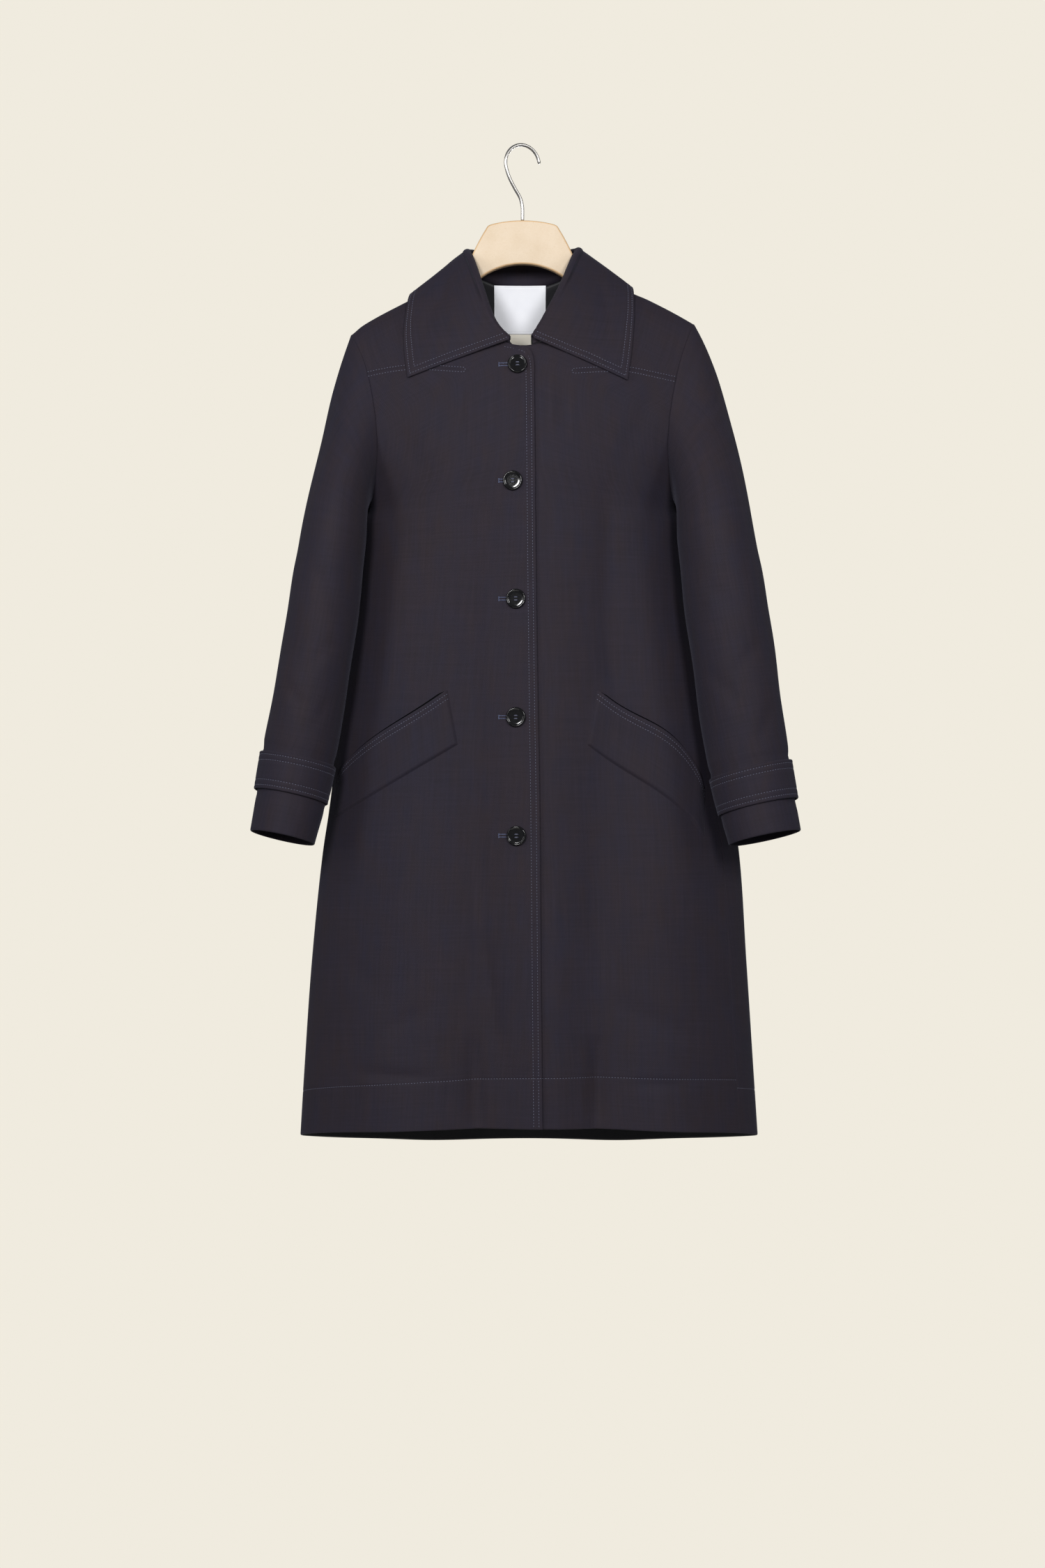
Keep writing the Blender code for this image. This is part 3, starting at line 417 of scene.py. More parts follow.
    def overlap_point(self, angle: Array, height: Array, inset: Array = 0.0) -> Array:
        """Points of the right front, whose edge stands a little off the left front.

        Args:
            angle: Angles round the body.
            height: Heights.
            inset: Depths below the outer face.

        Returns:
            The points.
        """
        points = self.point(angle, height, inset)
        past = 1.0 - ease((self.lap_edge(height) - points[..., 0]) / self.lap_curl_width)
        uneven = 0.75 + 0.25 * np.sin(np.asarray(height) / 61.0 + 0.8)
        points[..., 1] -= self.lap_curl * past * uneven * ease((np.asarray(height) - 250.0) / 40.0)
        return points

    def front_point(self, side: Side) -> Layer:
        """The function that lays a front's points."""
        return self.overlap_point if side is Side.RIGHT else self.underlap_point

    def angle_at(self, side: Side, out: Array, height: Array, at_back: bool = False) -> Array:
        """Angles of points that lie a distance out from the middle plane.

        Args:
            side: The side.
            out: Distances out.
            height: Heights.
            at_back: Whether the points lie on the back.

        Returns:
            The angles.
        """
        angle = np.arcsin(np.clip(out / self.sizes(side.label, height), -1.0, 1.0))
        return side.value * (math.pi - angle if at_back else angle)

    def back_angle(self, x: Array, height: Array) -> Array:
        """Angles of points on the back by their x."""
        right, left = (self.angle_at(side, side.value * x, height, True) for side in (Side.RIGHT, Side.LEFT))
        return np.where(x > 0, left, right)

    def lay(self, side: Side, x: Array, height: Array, lift: Array = 0.0) -> Array:
        """Points on a front by their x, raised by a lift."""
        return self.front_point(side)(self.angle_at(side, side.value * x, height), height, -np.asarray(lift))

    def outwards(self, side: Side, x: Array, height: Array) -> Array:
        """Directions out of a front's cloth."""
        return unit(self.lay(side, x, height, 1.0) - self.lay(side, x, height))

    def seam_angle(self, side: Side, height: Array) -> Array:
        """The angle of the side seam.

        Args:
            side: The side.
            height: Heights.

        Returns:
            The angles.
        """
        turned = self.seam_turn_right if side is Side.RIGHT else self.seam_turn_left
        turn = ease((height - self.underarm) / (self.seam_turn_by - self.underarm))
        return side.value * (math.pi / 2 + turned * turn)

    def hem_height(self, angle: Array, height: Array) -> Array:
        """Tilt the hem, which lifts the front and drops the back.

        Args:
            angle: Angles.
            height: Heights before the tilt.

        Returns:
            Heights after it.
        """
        facing = np.cos(angle)
        depth = np.where(facing > 0, self.sizes("front", height), self.sizes("back", height))
        tilt = self.hem_tilt * ease((height - self.hem_tilt_from) / (self.hem - self.hem_tilt_from))
        return height - tilt * depth * facing


@dataclass(frozen=True)
class Spacing:
    """Where columns lie along a row: close together at its ends and even between."""
    first: tuple[float, ...]
    middle: int
    last: tuple[float, ...]

    def places(self, length: float) -> Array:
        """The columns' distances along a row of a length."""
        even = np.linspace(self.first[-1], length - self.last[0], self.middle + 1)
        return np.concatenate((self.first[:-1], even, length - np.asarray(self.last[1:])))


@dataclass
class Shell:
    """A piece of cloth as two faces in rows and columns of points. A ring repeats its first column last.

    The facing is the number of last rows whose inner face shows the outer cloth, turned in.
    """
    outer: Array
    inner: Array
    ring: bool = False
    facing: int = 0

    def round_edges(self, share: Array) -> None:
        """Draw the two faces together where the wall's share of its thickness is less than one."""
        drawn = (self.inner - self.outer) * ((1.0 - share) / 2.0)[..., None]
        self.outer, self.inner = self.outer + drawn, self.inner - drawn

    def press(self, depth: Array) -> None:
        """Press the outer face inwards by a depth."""
        self.outer = self.outer + unit(self.inner - self.outer) * np.asarray(depth)[..., None]

    def cut(self) -> Triple:
        """Measure the outer face.

        Returns:
            Its widest row and longest column in metres, and its area in square metres.
        """
        along, down = np.diff(self.outer, axis=1)[:-1], np.diff(self.outer, axis=0)[:, :-1]
        area = np.linalg.norm(np.cross(along, down), axis=-1).sum() * METRES ** 2
        width = round(float(np.linalg.norm(along, axis=-1).sum(axis=1).max()) * METRES, 3)
        length = round(float(np.linalg.norm(down, axis=-1).sum(axis=0).max()) * METRES, 3)
        return width, length, min(round(float(area), 5), width * length)

    def flat(self) -> Array:
        """Lay the rows and columns flat.

        Returns:
            The flat map, in metres.
        """
        middle = self.outer.shape[1] // 2
        along = np.stack([run_lengths(row) for row in self.outer])
        along = along - along[:, middle:middle + 1]
        down = np.broadcast_to(run_lengths(self.outer[:, middle])[:, None], along.shape)
        return np.stack((along, -down), axis=-1) * METRES

    def sample(self, rows: Array, columns: Array) -> tuple[Array, Array]:
        """Points on the outer face, and the directions out of it.

        Args:
            rows: Row numbers, with fractions.
            columns: Column numbers, with fractions.

        Returns:
            The points and the directions.
        """
        rows, columns = np.broadcast_arrays(np.asarray(rows, float), np.asarray(columns, float))
        row = np.clip(rows.astype(int), 0, self.outer.shape[0] - 2)
        column = np.clip(columns.astype(int), 0, self.outer.shape[1] - 2)
        down, along = (rows - row)[..., None], (columns - column)[..., None]
        result = []
        for face in (self.outer, self.inner):
            upper = face[row, column] * (1 - along) + face[row, column + 1] * along
            lower = face[row + 1, column] * (1 - along) + face[row + 1, column + 1] * along
            result.append(upper * (1 - down) + lower * down)
        return result[0], unit(result[0] - result[1])

    def build(self, name: str, outside: Material, inside: Material) -> bpy.types.Object:
        """Make the piece's mesh and object.

        Args:
            name: The object's name.
            outside: The material of the outer face and the edges.
            inside: The material of the inner face.

        Returns:
            The object.
        """
        rows, columns = self.outer.shape[0] - 1, self.outer.shape[1] - 1
        mesh = bmesh.new()
        column_of = mesh.verts.layers.int.new("column")
        row_of = mesh.verts.layers.int.new("row")
        bmesh.ops.create_grid(mesh, x_segments=columns, y_segments=rows, size=0.5)
        for vert in mesh.verts:
            vert[column_of] = round((vert.co.x + 0.5) * columns)
            vert[row_of] = round((vert.co.y + 0.5) * rows)
        if self.ring:
            at = {(vert[column_of], vert[row_of]): vert for vert in mesh.verts}
            bmesh.ops.weld_verts(mesh, targetmap={at[columns, row]: at[0, row] for row in range(rows + 1)})
        sheet = mesh.verts[:] + mesh.edges[:] + mesh.faces[:]
        copied = bmesh.ops.extrude_face_region(mesh, geom=sheet, use_keep_orig=True)["geom"]
        behind = {item for item in copied if isinstance(item, bmesh.types.BMVert)}
        outer, inner = ((SHOULDERS.settled(face) * METRES).tolist() for face in (self.outer, self.inner))
        for vert in mesh.verts:
            vert.co = (inner if vert in behind else outer)[vert[row_of]][vert[column_of]]
        flat, flat_map = self.flat().tolist(), mesh.loops.layers.uv.new(FLAT_MAP)
        for face in mesh.faces:
            face.smooth = True
            lined = min(vert[row_of] for vert in face.verts) < rows - self.facing
            face.material_index = int(lined and all(vert in behind for vert in face.verts))
            wraps = self.ring and max(vert[column_of] for vert in face.verts) == columns - 1
            for loop in face.loops:
                column = loop.vert[column_of]
                loop[flat_map].uv = flat[loop.vert[row_of]][columns if wraps and column == 0 else column]
        bmesh.ops.recalc_face_normals(mesh, faces=mesh.faces[:])
        return placed(name, mesh, outside, inside)


def linked(data: bpy.types.Mesh, *finishes: Material) -> bpy.types.Object:
    """An object at the origin that shows a mesh and rides on the part.

    Args:
        data: The mesh.
        finishes: Its materials.

    Returns:
        The object.
    """
    for finish in finishes:
        data.materials.append(finish)
    item = bpy.data.objects.new(data.name, data)
    bpy.context.scene.collection.objects.link(item)
    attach(item, "root")
    LOG.info("%s: %d faces", data.name, len(data.polygons))
    return item


def placed(name: str, mesh: bmesh.types.BMesh, *finishes: Material) -> bpy.types.Object:
    """Turn a bmesh, which is freed, into an object at the origin.

    Args:
        name: The mesh's name.
        mesh: The bmesh.
        finishes: Its materials.

    Returns:
        The object.
    """
    data = bpy.data.meshes.new(name)
    mesh.to_mesh(data)
    mesh.free()
    return linked(data, *finishes)


def evaluated(item: bpy.types.Object) -> bpy.types.Mesh:
    """An object's mesh with its modifiers applied."""
    bpy.context.view_layer.update()
    return bpy.data.meshes.new_from_object(item.evaluated_get(bpy.context.evaluated_depsgraph_get()))


def lay_cloth(shell: Shell, node: str, faces: Sequence[Material],
              pieces: list[bpy.types.Object]) -> None:
    """Make a piece of cloth in the place of its solid and log its cut.

    Args:
        shell: The cloth's faces.
        node: The solid's node.
        faces: The materials of the outer and the inner face.
        pieces: Not used.
    """
    item = shell.build(f"{node}_cloth", *faces)
    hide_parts(node)
    width, length, area = shell.cut()
    LOG.info("%s: cut %.3f by %.3f m, %.4f square metres", node, width, length, area)


class Value:
    """A shader value. Arithmetic on it adds Math nodes."""

    def __init__(self, shader: "Shader", socket: bpy.types.NodeSocket) -> None:
        """Wrap a socket of a shader."""
        self.shader, self.socket = shader, socket

    def maths(self, operation: str, first: Any, second: Any) -> "Value":
        """A Math node's result."""
        return self.shader.node("ShaderNodeMath", {"operation": operation}, {0: first, 1: second})

    def __add__(self, other: Any) -> "Value":
        """The sum."""
        return self.maths("ADD", self, other)

    __radd__ = __add__

    def __sub__(self, other: Any) -> "Value":
        """The difference."""
        return self.maths("SUBTRACT", self, other)

    def __rsub__(self, other: Any) -> "Value":
        """The difference from a number."""
        return self.maths("SUBTRACT", other, self)

    def __mul__(self, other: Any) -> "Value":
        """The product."""
        return self.maths("MULTIPLY", self, other)

    __rmul__ = __mul__


class Shader:
    """A material's node tree round its Principled shader."""

    def __init__(self, name: str, **constants: Any) -> None:
        """Start a material.

        Args:
            name: The material's name.
            constants: Values for the shader's own sockets, with _ for spaces.
        """
        self.material = bpy.data.materials.new(name)
        self.material.use_nodes = True
        self.tree = self.material.node_tree
        self.principled = self.tree.nodes["Principled BSDF"]
        for socket, value in constants.items():
            words = socket.replace("_", " ").title().replace("Ior", "IOR")
            self.principled.inputs[words].default_value = value

    def node(self, kind: str, settings: dict[str, Any], sockets: dict[Any, Any], output: Any = 0) -> Value:
        """Add a node.

        Args:
            kind: The node's type.
            settings: Its settings.
            sockets: Values or links of its sockets.
            output: The output that is returned.

        Returns:
            The output's value.
        """
        node = self.tree.nodes.new(kind)
        for name, setting in settings.items():
            setattr(node, name, setting)
        for name, value in sockets.items():
            if isinstance(value, Value):
                self.tree.links.new(value.socket, node.inputs[name])
            else:
                node.inputs[name].default_value = value
        return Value(self, node.outputs[output])

    def flat_map(self, turn: float = 0.0, stretch: Triple = (1.0, 1.0, 1.0)) -> Value:
        """The piece's flat map, turned and stretched."""
        place = self.node("ShaderNodeUVMap", {"uv_map": FLAT_MAP}, {})
        return self.mapped(place, turn, stretch)

    def object_map(self, stretch: Triple = (1.0, 1.0, 1.0)) -> Value:
        """Object coordinates, stretched."""
        place = self.node("ShaderNodeTexCoord", {}, {}, "Object")
        return self.mapped(place, 0.0, stretch)

    def mapped(self, place: Value, turn: float, stretch: Triple) -> Value:
        """A vector turned about Z and stretched."""
        sockets = {"Vector": place, "Rotation": (0.0, 0.0, turn), "Scale": stretch}
        return self.node("ShaderNodeMapping", {}, sockets)

    def noise(self, place: Value, scale: float, detail: float = 2.0, roughness: float = 0.5) -> Value:
        """A noise texture's value."""
        return self.node("ShaderNodeTexNoise", {}, {
            "Vector": place, "Scale": scale, "Detail": detail, "Roughness": roughness})

    def wave(self, place: Value, period: float, distortion: float = 0.0) -> Value:
        """Add a wave texture.

        Args:
            place: Where it is read.
            period: The distance between its bands.
            distortion: How far they wander.

        Returns:
            The texture's value.
        """
        return self.node("ShaderNodeTexWave", {"bands_direction": "X"}, {
            "Vector": place, "Scale": math.tau / (20.0 * period), "Distortion": distortion,
            "Detail": 1.0, "Detail Scale": 1.5})

    def mix(self, share: Any, first: Any, second: Any, kind: str = "MIX") -> Value:
        """A mix of two colours."""
        settings = {"data_type": "RGBA", "blend_type": kind}
        return self.node("ShaderNodeMix", settings, {0: share, 6: first, 7: second}, 2)

    def spread(self, value: Value, low: float, high: float) -> Value:
        """A value spread from a range to 0 and 1."""
        return self.node("ShaderNodeMapRange", {}, {"Value": value, "From Min": low, "From Max": high})

    def finish(self, colour: Value, roughness: Any, height: Value | None, relief: float,
               strength: float = 1.0) -> Material:
        """Link the results to the shader.

        Args:
            colour: The base colour.
            roughness: The roughness.
            height: The surface's height for a Bump node.
            relief: The height's size in metres.
            strength: The Bump node's strength.

        Returns:
            The material.
        """
        self.tree.links.new(colour.socket, self.principled.inputs["Base Color"])
        if isinstance(roughness, Value):
            self.tree.links.new(roughness.socket, self.principled.inputs["Roughness"])
        else:
            self.principled.inputs["Roughness"].default_value = roughness
        if height is not None:
            sockets = {"Height": height, "Distance": relief, "Strength": strength}
            bump = self.node("ShaderNodeBump", {}, sockets)
            self.tree.links.new(bump.socket, self.principled.inputs["Normal"])
        return self.material




@dataclass(frozen=True)
class GabardineFinish:
    """Dark worsted twill, shot with a warm and a cool yarn."""
    warm: Colour = (0.0140, 0.0092, 0.0130, 1.0)
    cool: Colour = (0.0104, 0.0086, 0.0172, 1.0)
    twill_period: float = 0.0011
    twill_turn: float = math.radians(27)
    yarn_period: float = 0.0007

    def material(self, name: str) -> Material:
        """Make the material.

        Args:
            name: Its name.

        Returns:
            The material.
        """
        shader = Shader(name, sheen_weight=0.05, sheen_roughness=0.45, sheen_tint=(0.72, 0.76, 1.0, 1.0),
                        specular_ior_level=0.22)
        flat = shader.flat_map()
        twill = shader.wave(shader.flat_map(self.twill_turn), self.twill_period, 0.7)
        yarn = shader.wave(flat, self.yarn_period, 1.2)
        fibre = shader.noise(flat, 1900.0, 2.0)
        slub = shader.noise(shader.flat_map(0.0, (420.0, 14.0, 1.0)), 1.0, 2.0)
        weft = shader.noise(shader.flat_map(0.0, (16.0, 460.0, 1.0)), 1.0, 2.0)
        cloud = shader.noise(shader.object_map((1.0, 1.0, 0.3)), 75.0, 3.0)
        patch = shader.noise(shader.object_map((1.0, 1.0, 0.5)), 9.0, 1.0)
        shot = shader.spread(cloud * 0.6 + patch * 0.4, 0.30, 0.72)
        colour = shader.mix(shot, self.warm, self.cool)
        tone = 0.36 + twill * 0.2 + slub * 0.46 + weft * 0.40 + fibre * 0.3
        bright = shader.node("ShaderNodeCombineColor", {}, {0: tone, 1: tone, 2: tone})
        colour = shader.mix(1.0, colour, bright, "MULTIPLY")
        height = twill * 0.55 + yarn * 0.2 + fibre * 0.35 + slub * 0.25
        rough = 0.74 + fibre * 0.16 - twill * 0.06
        return shader.finish(colour, rough, height, 0.00022, 0.55)


@dataclass(frozen=True)
class LiningFinish:
    """Near-black satin lining."""
    colour: Colour = (0.0052, 0.0054, 0.0072, 1.0)
    light: Colour = (0.0085, 0.0088, 0.0115, 1.0)
    gloss: float = 0.35

    def material(self, name: str) -> Material:
        """Make the material.

        Args:
            name: Its name.

        Returns:
            The material.
        """
        shader = Shader(name, specular_ior_level=self.gloss)
        rib = shader.wave(shader.flat_map(math.radians(45)), 0.0006, 0.4)
        cloud = shader.noise(shader.object_map(), 30.0, 2.0)
        colour = shader.mix(rib * 0.4 + cloud * 0.5, self.colour, self.light)
        return shader.finish(colour, 0.42 + cloud * 0.16, rib, 0.00006, 0.4)


@dataclass(frozen=True)
class ThreadFinish:
    """Twisted sewing thread."""
    dark: Colour
    light: Colour

    def material(self, name: str) -> Material:
        """Make the material.

        Args:
            name: Its name.

        Returns:
            The material.
        """
        shader = Shader(name, sheen_weight=0.2, sheen_roughness=0.3)
        ply = shader.noise(shader.object_map(), 2600.0, 1.0)
        length = shader.noise(shader.object_map(), 130.0, 2.0)
        share = shader.spread(ply * 0.5 + length * 0.5, 0.35, 0.65)
        return shader.finish(shader.mix(share, self.dark, self.light), 0.5 + ply * 0.2, ply, 0.0001, 0.5)


@dataclass(frozen=True)
class ButtonFinish:
    """Polished black button resin with faint handling marks."""
    dark: Colour = (0.0028, 0.0028, 0.0031, 1.0)
    light: Colour = (0.0062, 0.0062, 0.0068, 1.0)

    def material(self, name: str) -> Material:
        """Make the material.

        Args:
            name: Its name.

        Returns:
            The material.
        """
        shader = Shader(name, specular_ior_level=0.5)
        cloud = shader.noise(shader.object_map(), 420.0, 3.0)
        marks = shader.noise(shader.object_map((1.0, 1.0, 6.0)), 900.0, 2.0)
        colour = shader.mix(cloud, self.dark, self.light)
        return shader.finish(colour, 0.05 + cloud * 0.04 + marks * 0.02, None, 0.0)


@dataclass(frozen=True)
class WovenFinish:
    """Narrow woven ribbon of a label or a tab."""
    dark: Colour
    light: Colour
    rib: float = 0.0006

    def material(self, name: str) -> Material:
        """Make the material.

        Args:
            name: Its name.

        Returns:
            The material.
        """
        shader = Shader(name, sheen_weight=0.15, sheen_roughness=0.4, specular_ior_level=0.4)
        warp = shader.wave(shader.flat_map(), self.rib, 0.3)
        weft = shader.wave(shader.flat_map(math.pi / 2), self.rib * 0.7, 0.3)
        cloud = shader.noise(shader.flat_map(), 55.0, 2.0)
        weave = warp * 0.5 + weft * 0.5
        share = shader.spread(weave * 0.45 + cloud * 0.55, 0.2, 0.75)
        colour = shader.mix(share, self.dark, self.light)
        return shader.finish(colour, 0.46 + cloud * 0.14, weave, 0.00008, 0.5)


@dataclass(frozen=True)
class BoardFinish:
    """Pressed fibre board with fine specks."""
    pale: Colour
    deep: Colour
    speck: Colour

    def material(self, name: str) -> Material:
        """Make the material.

        Args:
            name: Its name.

        Returns:
            The material.
        """
        shader = Shader(name, specular_ior_level=0.3)
        place = shader.object_map()
        fibre = shader.noise(place, 900.0, 3.0, 0.65)
        cloud = shader.noise(place, 38.0, 3.0)
        flake = shader.noise(shader.object_map((1.0, 1.0, 2.2)), 420.0, 2.0)
        colour = shader.mix(shader.spread(cloud * 0.6 + fibre * 0.4, 0.34, 0.68), self.pale, self.deep)
        colour = shader.mix(shader.spread(flake, 0.62, 0.78) * 0.4, colour, self.speck)
        return shader.finish(colour, 0.62 + fibre * 0.2, fibre * 0.7 + flake * 0.3, 0.00018, 0.5)


@dataclass(frozen=True)
class WireFinish:
    """Drawn steel wire, smooth and bright, with a faint warm cast."""
    dark: Colour = (0.50, 0.48, 0.45, 1.0)
    light: Colour = (0.64, 0.62, 0.59, 1.0)

    def material(self, name: str) -> Material:
        """Make the material.

        Args:
            name: Its name.

        Returns:
            The material.
        """
        shader = Shader(name, metallic=1.0)
        drawn = shader.noise(shader.object_map((1.0, 1.0, 0.25)), 900.0, 2.0)
        cloud = shader.noise(shader.object_map(), 90.0, 2.0)
        colour = shader.mix(drawn * 0.3 + cloud * 0.7, self.dark, self.light)
        return shader.finish(colour, 0.3 + cloud * 0.06, None, 0.0)


@dataclass(frozen=True)
class FloorFinish:
    """Plain pale studio floor."""
    pale: Colour = (0.86, 0.83, 0.77, 1.0)
    deep: Colour = (0.80, 0.77, 0.71, 1.0)

    def material(self, name: str) -> Material:
        """Make the material.

        Args:
            name: Its name.

        Returns:
            The material.
        """
        shader = Shader(name)
        cloud = shader.noise(shader.object_map(), 3.0, 3.0)
        return shader.finish(shader.mix(cloud, self.pale, self.deep), 0.75 + cloud * 0.1, None, 0.0)


@dataclass(frozen=True)
class Finishes:
    """Every material of the part, made once."""
    gabardine: Material
    lining: Material
    pocket: Material
    thread: Material
    hole_thread: Material
    label_thread: Material
    button: Material
    label: Material
    tab: Material
    board: Material
    board_edge: Material
    wire: Material

    @classmethod
    def made(cls) -> "Finishes":
        """Make the materials.

        Returns:
            The materials by their uses.
        """
        return cls(
            gabardine=GabardineFinish().material("gabardine_twill"),
            lining=LiningFinish().material("satin_lining"),
            # pocket: a near-black, almost glossless stand-in, darker than the real lining: painted shade for
            # the shadow inside the pocket's opening.
            pocket=LiningFinish((0.0008, 0.0008, 0.0011, 1.0), (0.0015, 0.0015, 0.0021, 1.0),
                                0.02).material("pocket_lining"),
            thread=ThreadFinish((0.048, 0.051, 0.080, 1.0),
                                (0.084, 0.088, 0.130, 1.0)).material("grey_thread"),
            hole_thread=ThreadFinish((0.045, 0.054, 0.105, 1.0),
                                     (0.084, 0.100, 0.177, 1.0)).material("blue_thread"),
            label_thread=ThreadFinish((0.62, 0.63, 0.66, 1.0),
                                      (0.8, 0.81, 0.84, 1.0)).material("white_thread"),
            button=ButtonFinish().material("black_resin"),
            label=WovenFinish((0.80, 0.81, 0.86, 1.0), (0.90, 0.91, 0.95, 1.0)).material("white_ribbon"),
            tab=WovenFinish((0.86, 0.80, 0.68, 1.0), (0.95, 0.90, 0.79, 1.0)).material("cream_ribbon"),
            board=BoardFinish((0.58, 0.48, 0.365, 1.0), (0.53, 0.425, 0.305, 1.0),
                              (0.44, 0.33, 0.20, 1.0)).material("fibre_board"),
            board_edge=BoardFinish((0.62, 0.44, 0.26, 1.0), (0.48, 0.31, 0.16, 1.0),
                                   (0.36, 0.21, 0.10, 1.0)).material("fibre_board_edge"),
            wire=WireFinish().material("drawn_wire"),
        )


@dataclass
class Sewing:
    """Stitches joined in one mesh, each a small bead of thread."""
    name: str
    pitch: float = 3.4
    length: float = 1.9
    width: float = 0.8
    height: float = 0.55
    sunk: float = 0.1
    places: list[Array] = field(default_factory=list)

    def row(self, points: Array, outwards: Array, pitch: float | None = None,
            length: float | None = None) -> None:
        """Sew a row of stitches.

        Args:
            points: A line of points on the cloth.
            outwards: The directions out of the cloth at them.
            pitch: The distance between stitches.
            length: The stitches' length.
        """
        pitch, length = pitch or self.pitch, length or self.length
        runs = run_lengths(points)
        count = max(round(runs[-1] / pitch), 1)
        middles = (np.arange(count) + 0.5) * runs[-1] / count

        def at(places: Array, values: Array) -> Array:
            """Values along the line at distances from its start."""
            return np.stack([np.interp(places, runs, values[:, axis]) for axis in range(3)], axis=-1)

        starts, ends = at(middles - length / 2, points), at(middles + length / 2, points)
        self.stitch((starts + ends) / 2, ends - starts, at(middles, outwards), length)

    def stitch(self, middle: Array, along: Array, outwards: Array, length: float) -> None:
        """Sew stitches.

        Args:
            middle: Their middles on the cloth.
            along: Their directions.
            outwards: The directions out of the cloth.
            length: Their length.
        """
        middle, along, outwards = (np.atleast_2d(values) for values in (middle, along, outwards))
        axis = unit(along)
        across = unit(np.cross(outwards, axis))
        up = np.cross(axis, across)
        middle = middle + up * self.height * self.sunk
        self.places.append(np.stack((across * self.width, up * self.height, axis * length, middle), axis=1))

    def finish(self, material: Material, slot: str = "gabardine") -> bpy.types.Object:
        """Join the stitches in one object.

        Args:
            material: The thread's material.
            slot: Not used.

        Returns:
            The object.
        """
        bead = bmesh.new()
        bmesh.ops.create_uvsphere(bead, u_segments=6, v_segments=4, radius=0.5)
        points = np.asarray([vert.co[:] for vert in bead.verts])
        faces = [[vert.index for vert in face.verts] for face in bead.faces]
        bead.free()
        places = np.concatenate(self.places)
        places[:, 3] = SHOULDERS.settled(places[:, 3])
        places = places * METRES
        verts = np.einsum("vk,nkc->nvc", points, places[:, :3]) + places[:, 3:]
        joined = [[index + first for index in face]
                  for first in range(0, len(places) * len(points), len(points)) for face in faces]
        data = bpy.data.meshes.new(self.name)
        data.from_pydata(verts.reshape(-1, 3).tolist(), [], joined)
        data.shade_smooth()
        item = linked(data, material)
        return item


@dataclass
class Panel:
    """A laid panel: its places, its shell, its rows' distances from the hem and its hem's depths."""
    places: Array
    shell: Shell
    rise: Array
    underarm: int
    hem: Array

    def armhole(self, point: Layer, column: int, inset: float) -> Array:
        """Points of the armhole's edge from the underarm up, on a face."""
        edge = self.places[self.underarm:, column]
        return point(edge[:, 0], edge[:, 1], inset)


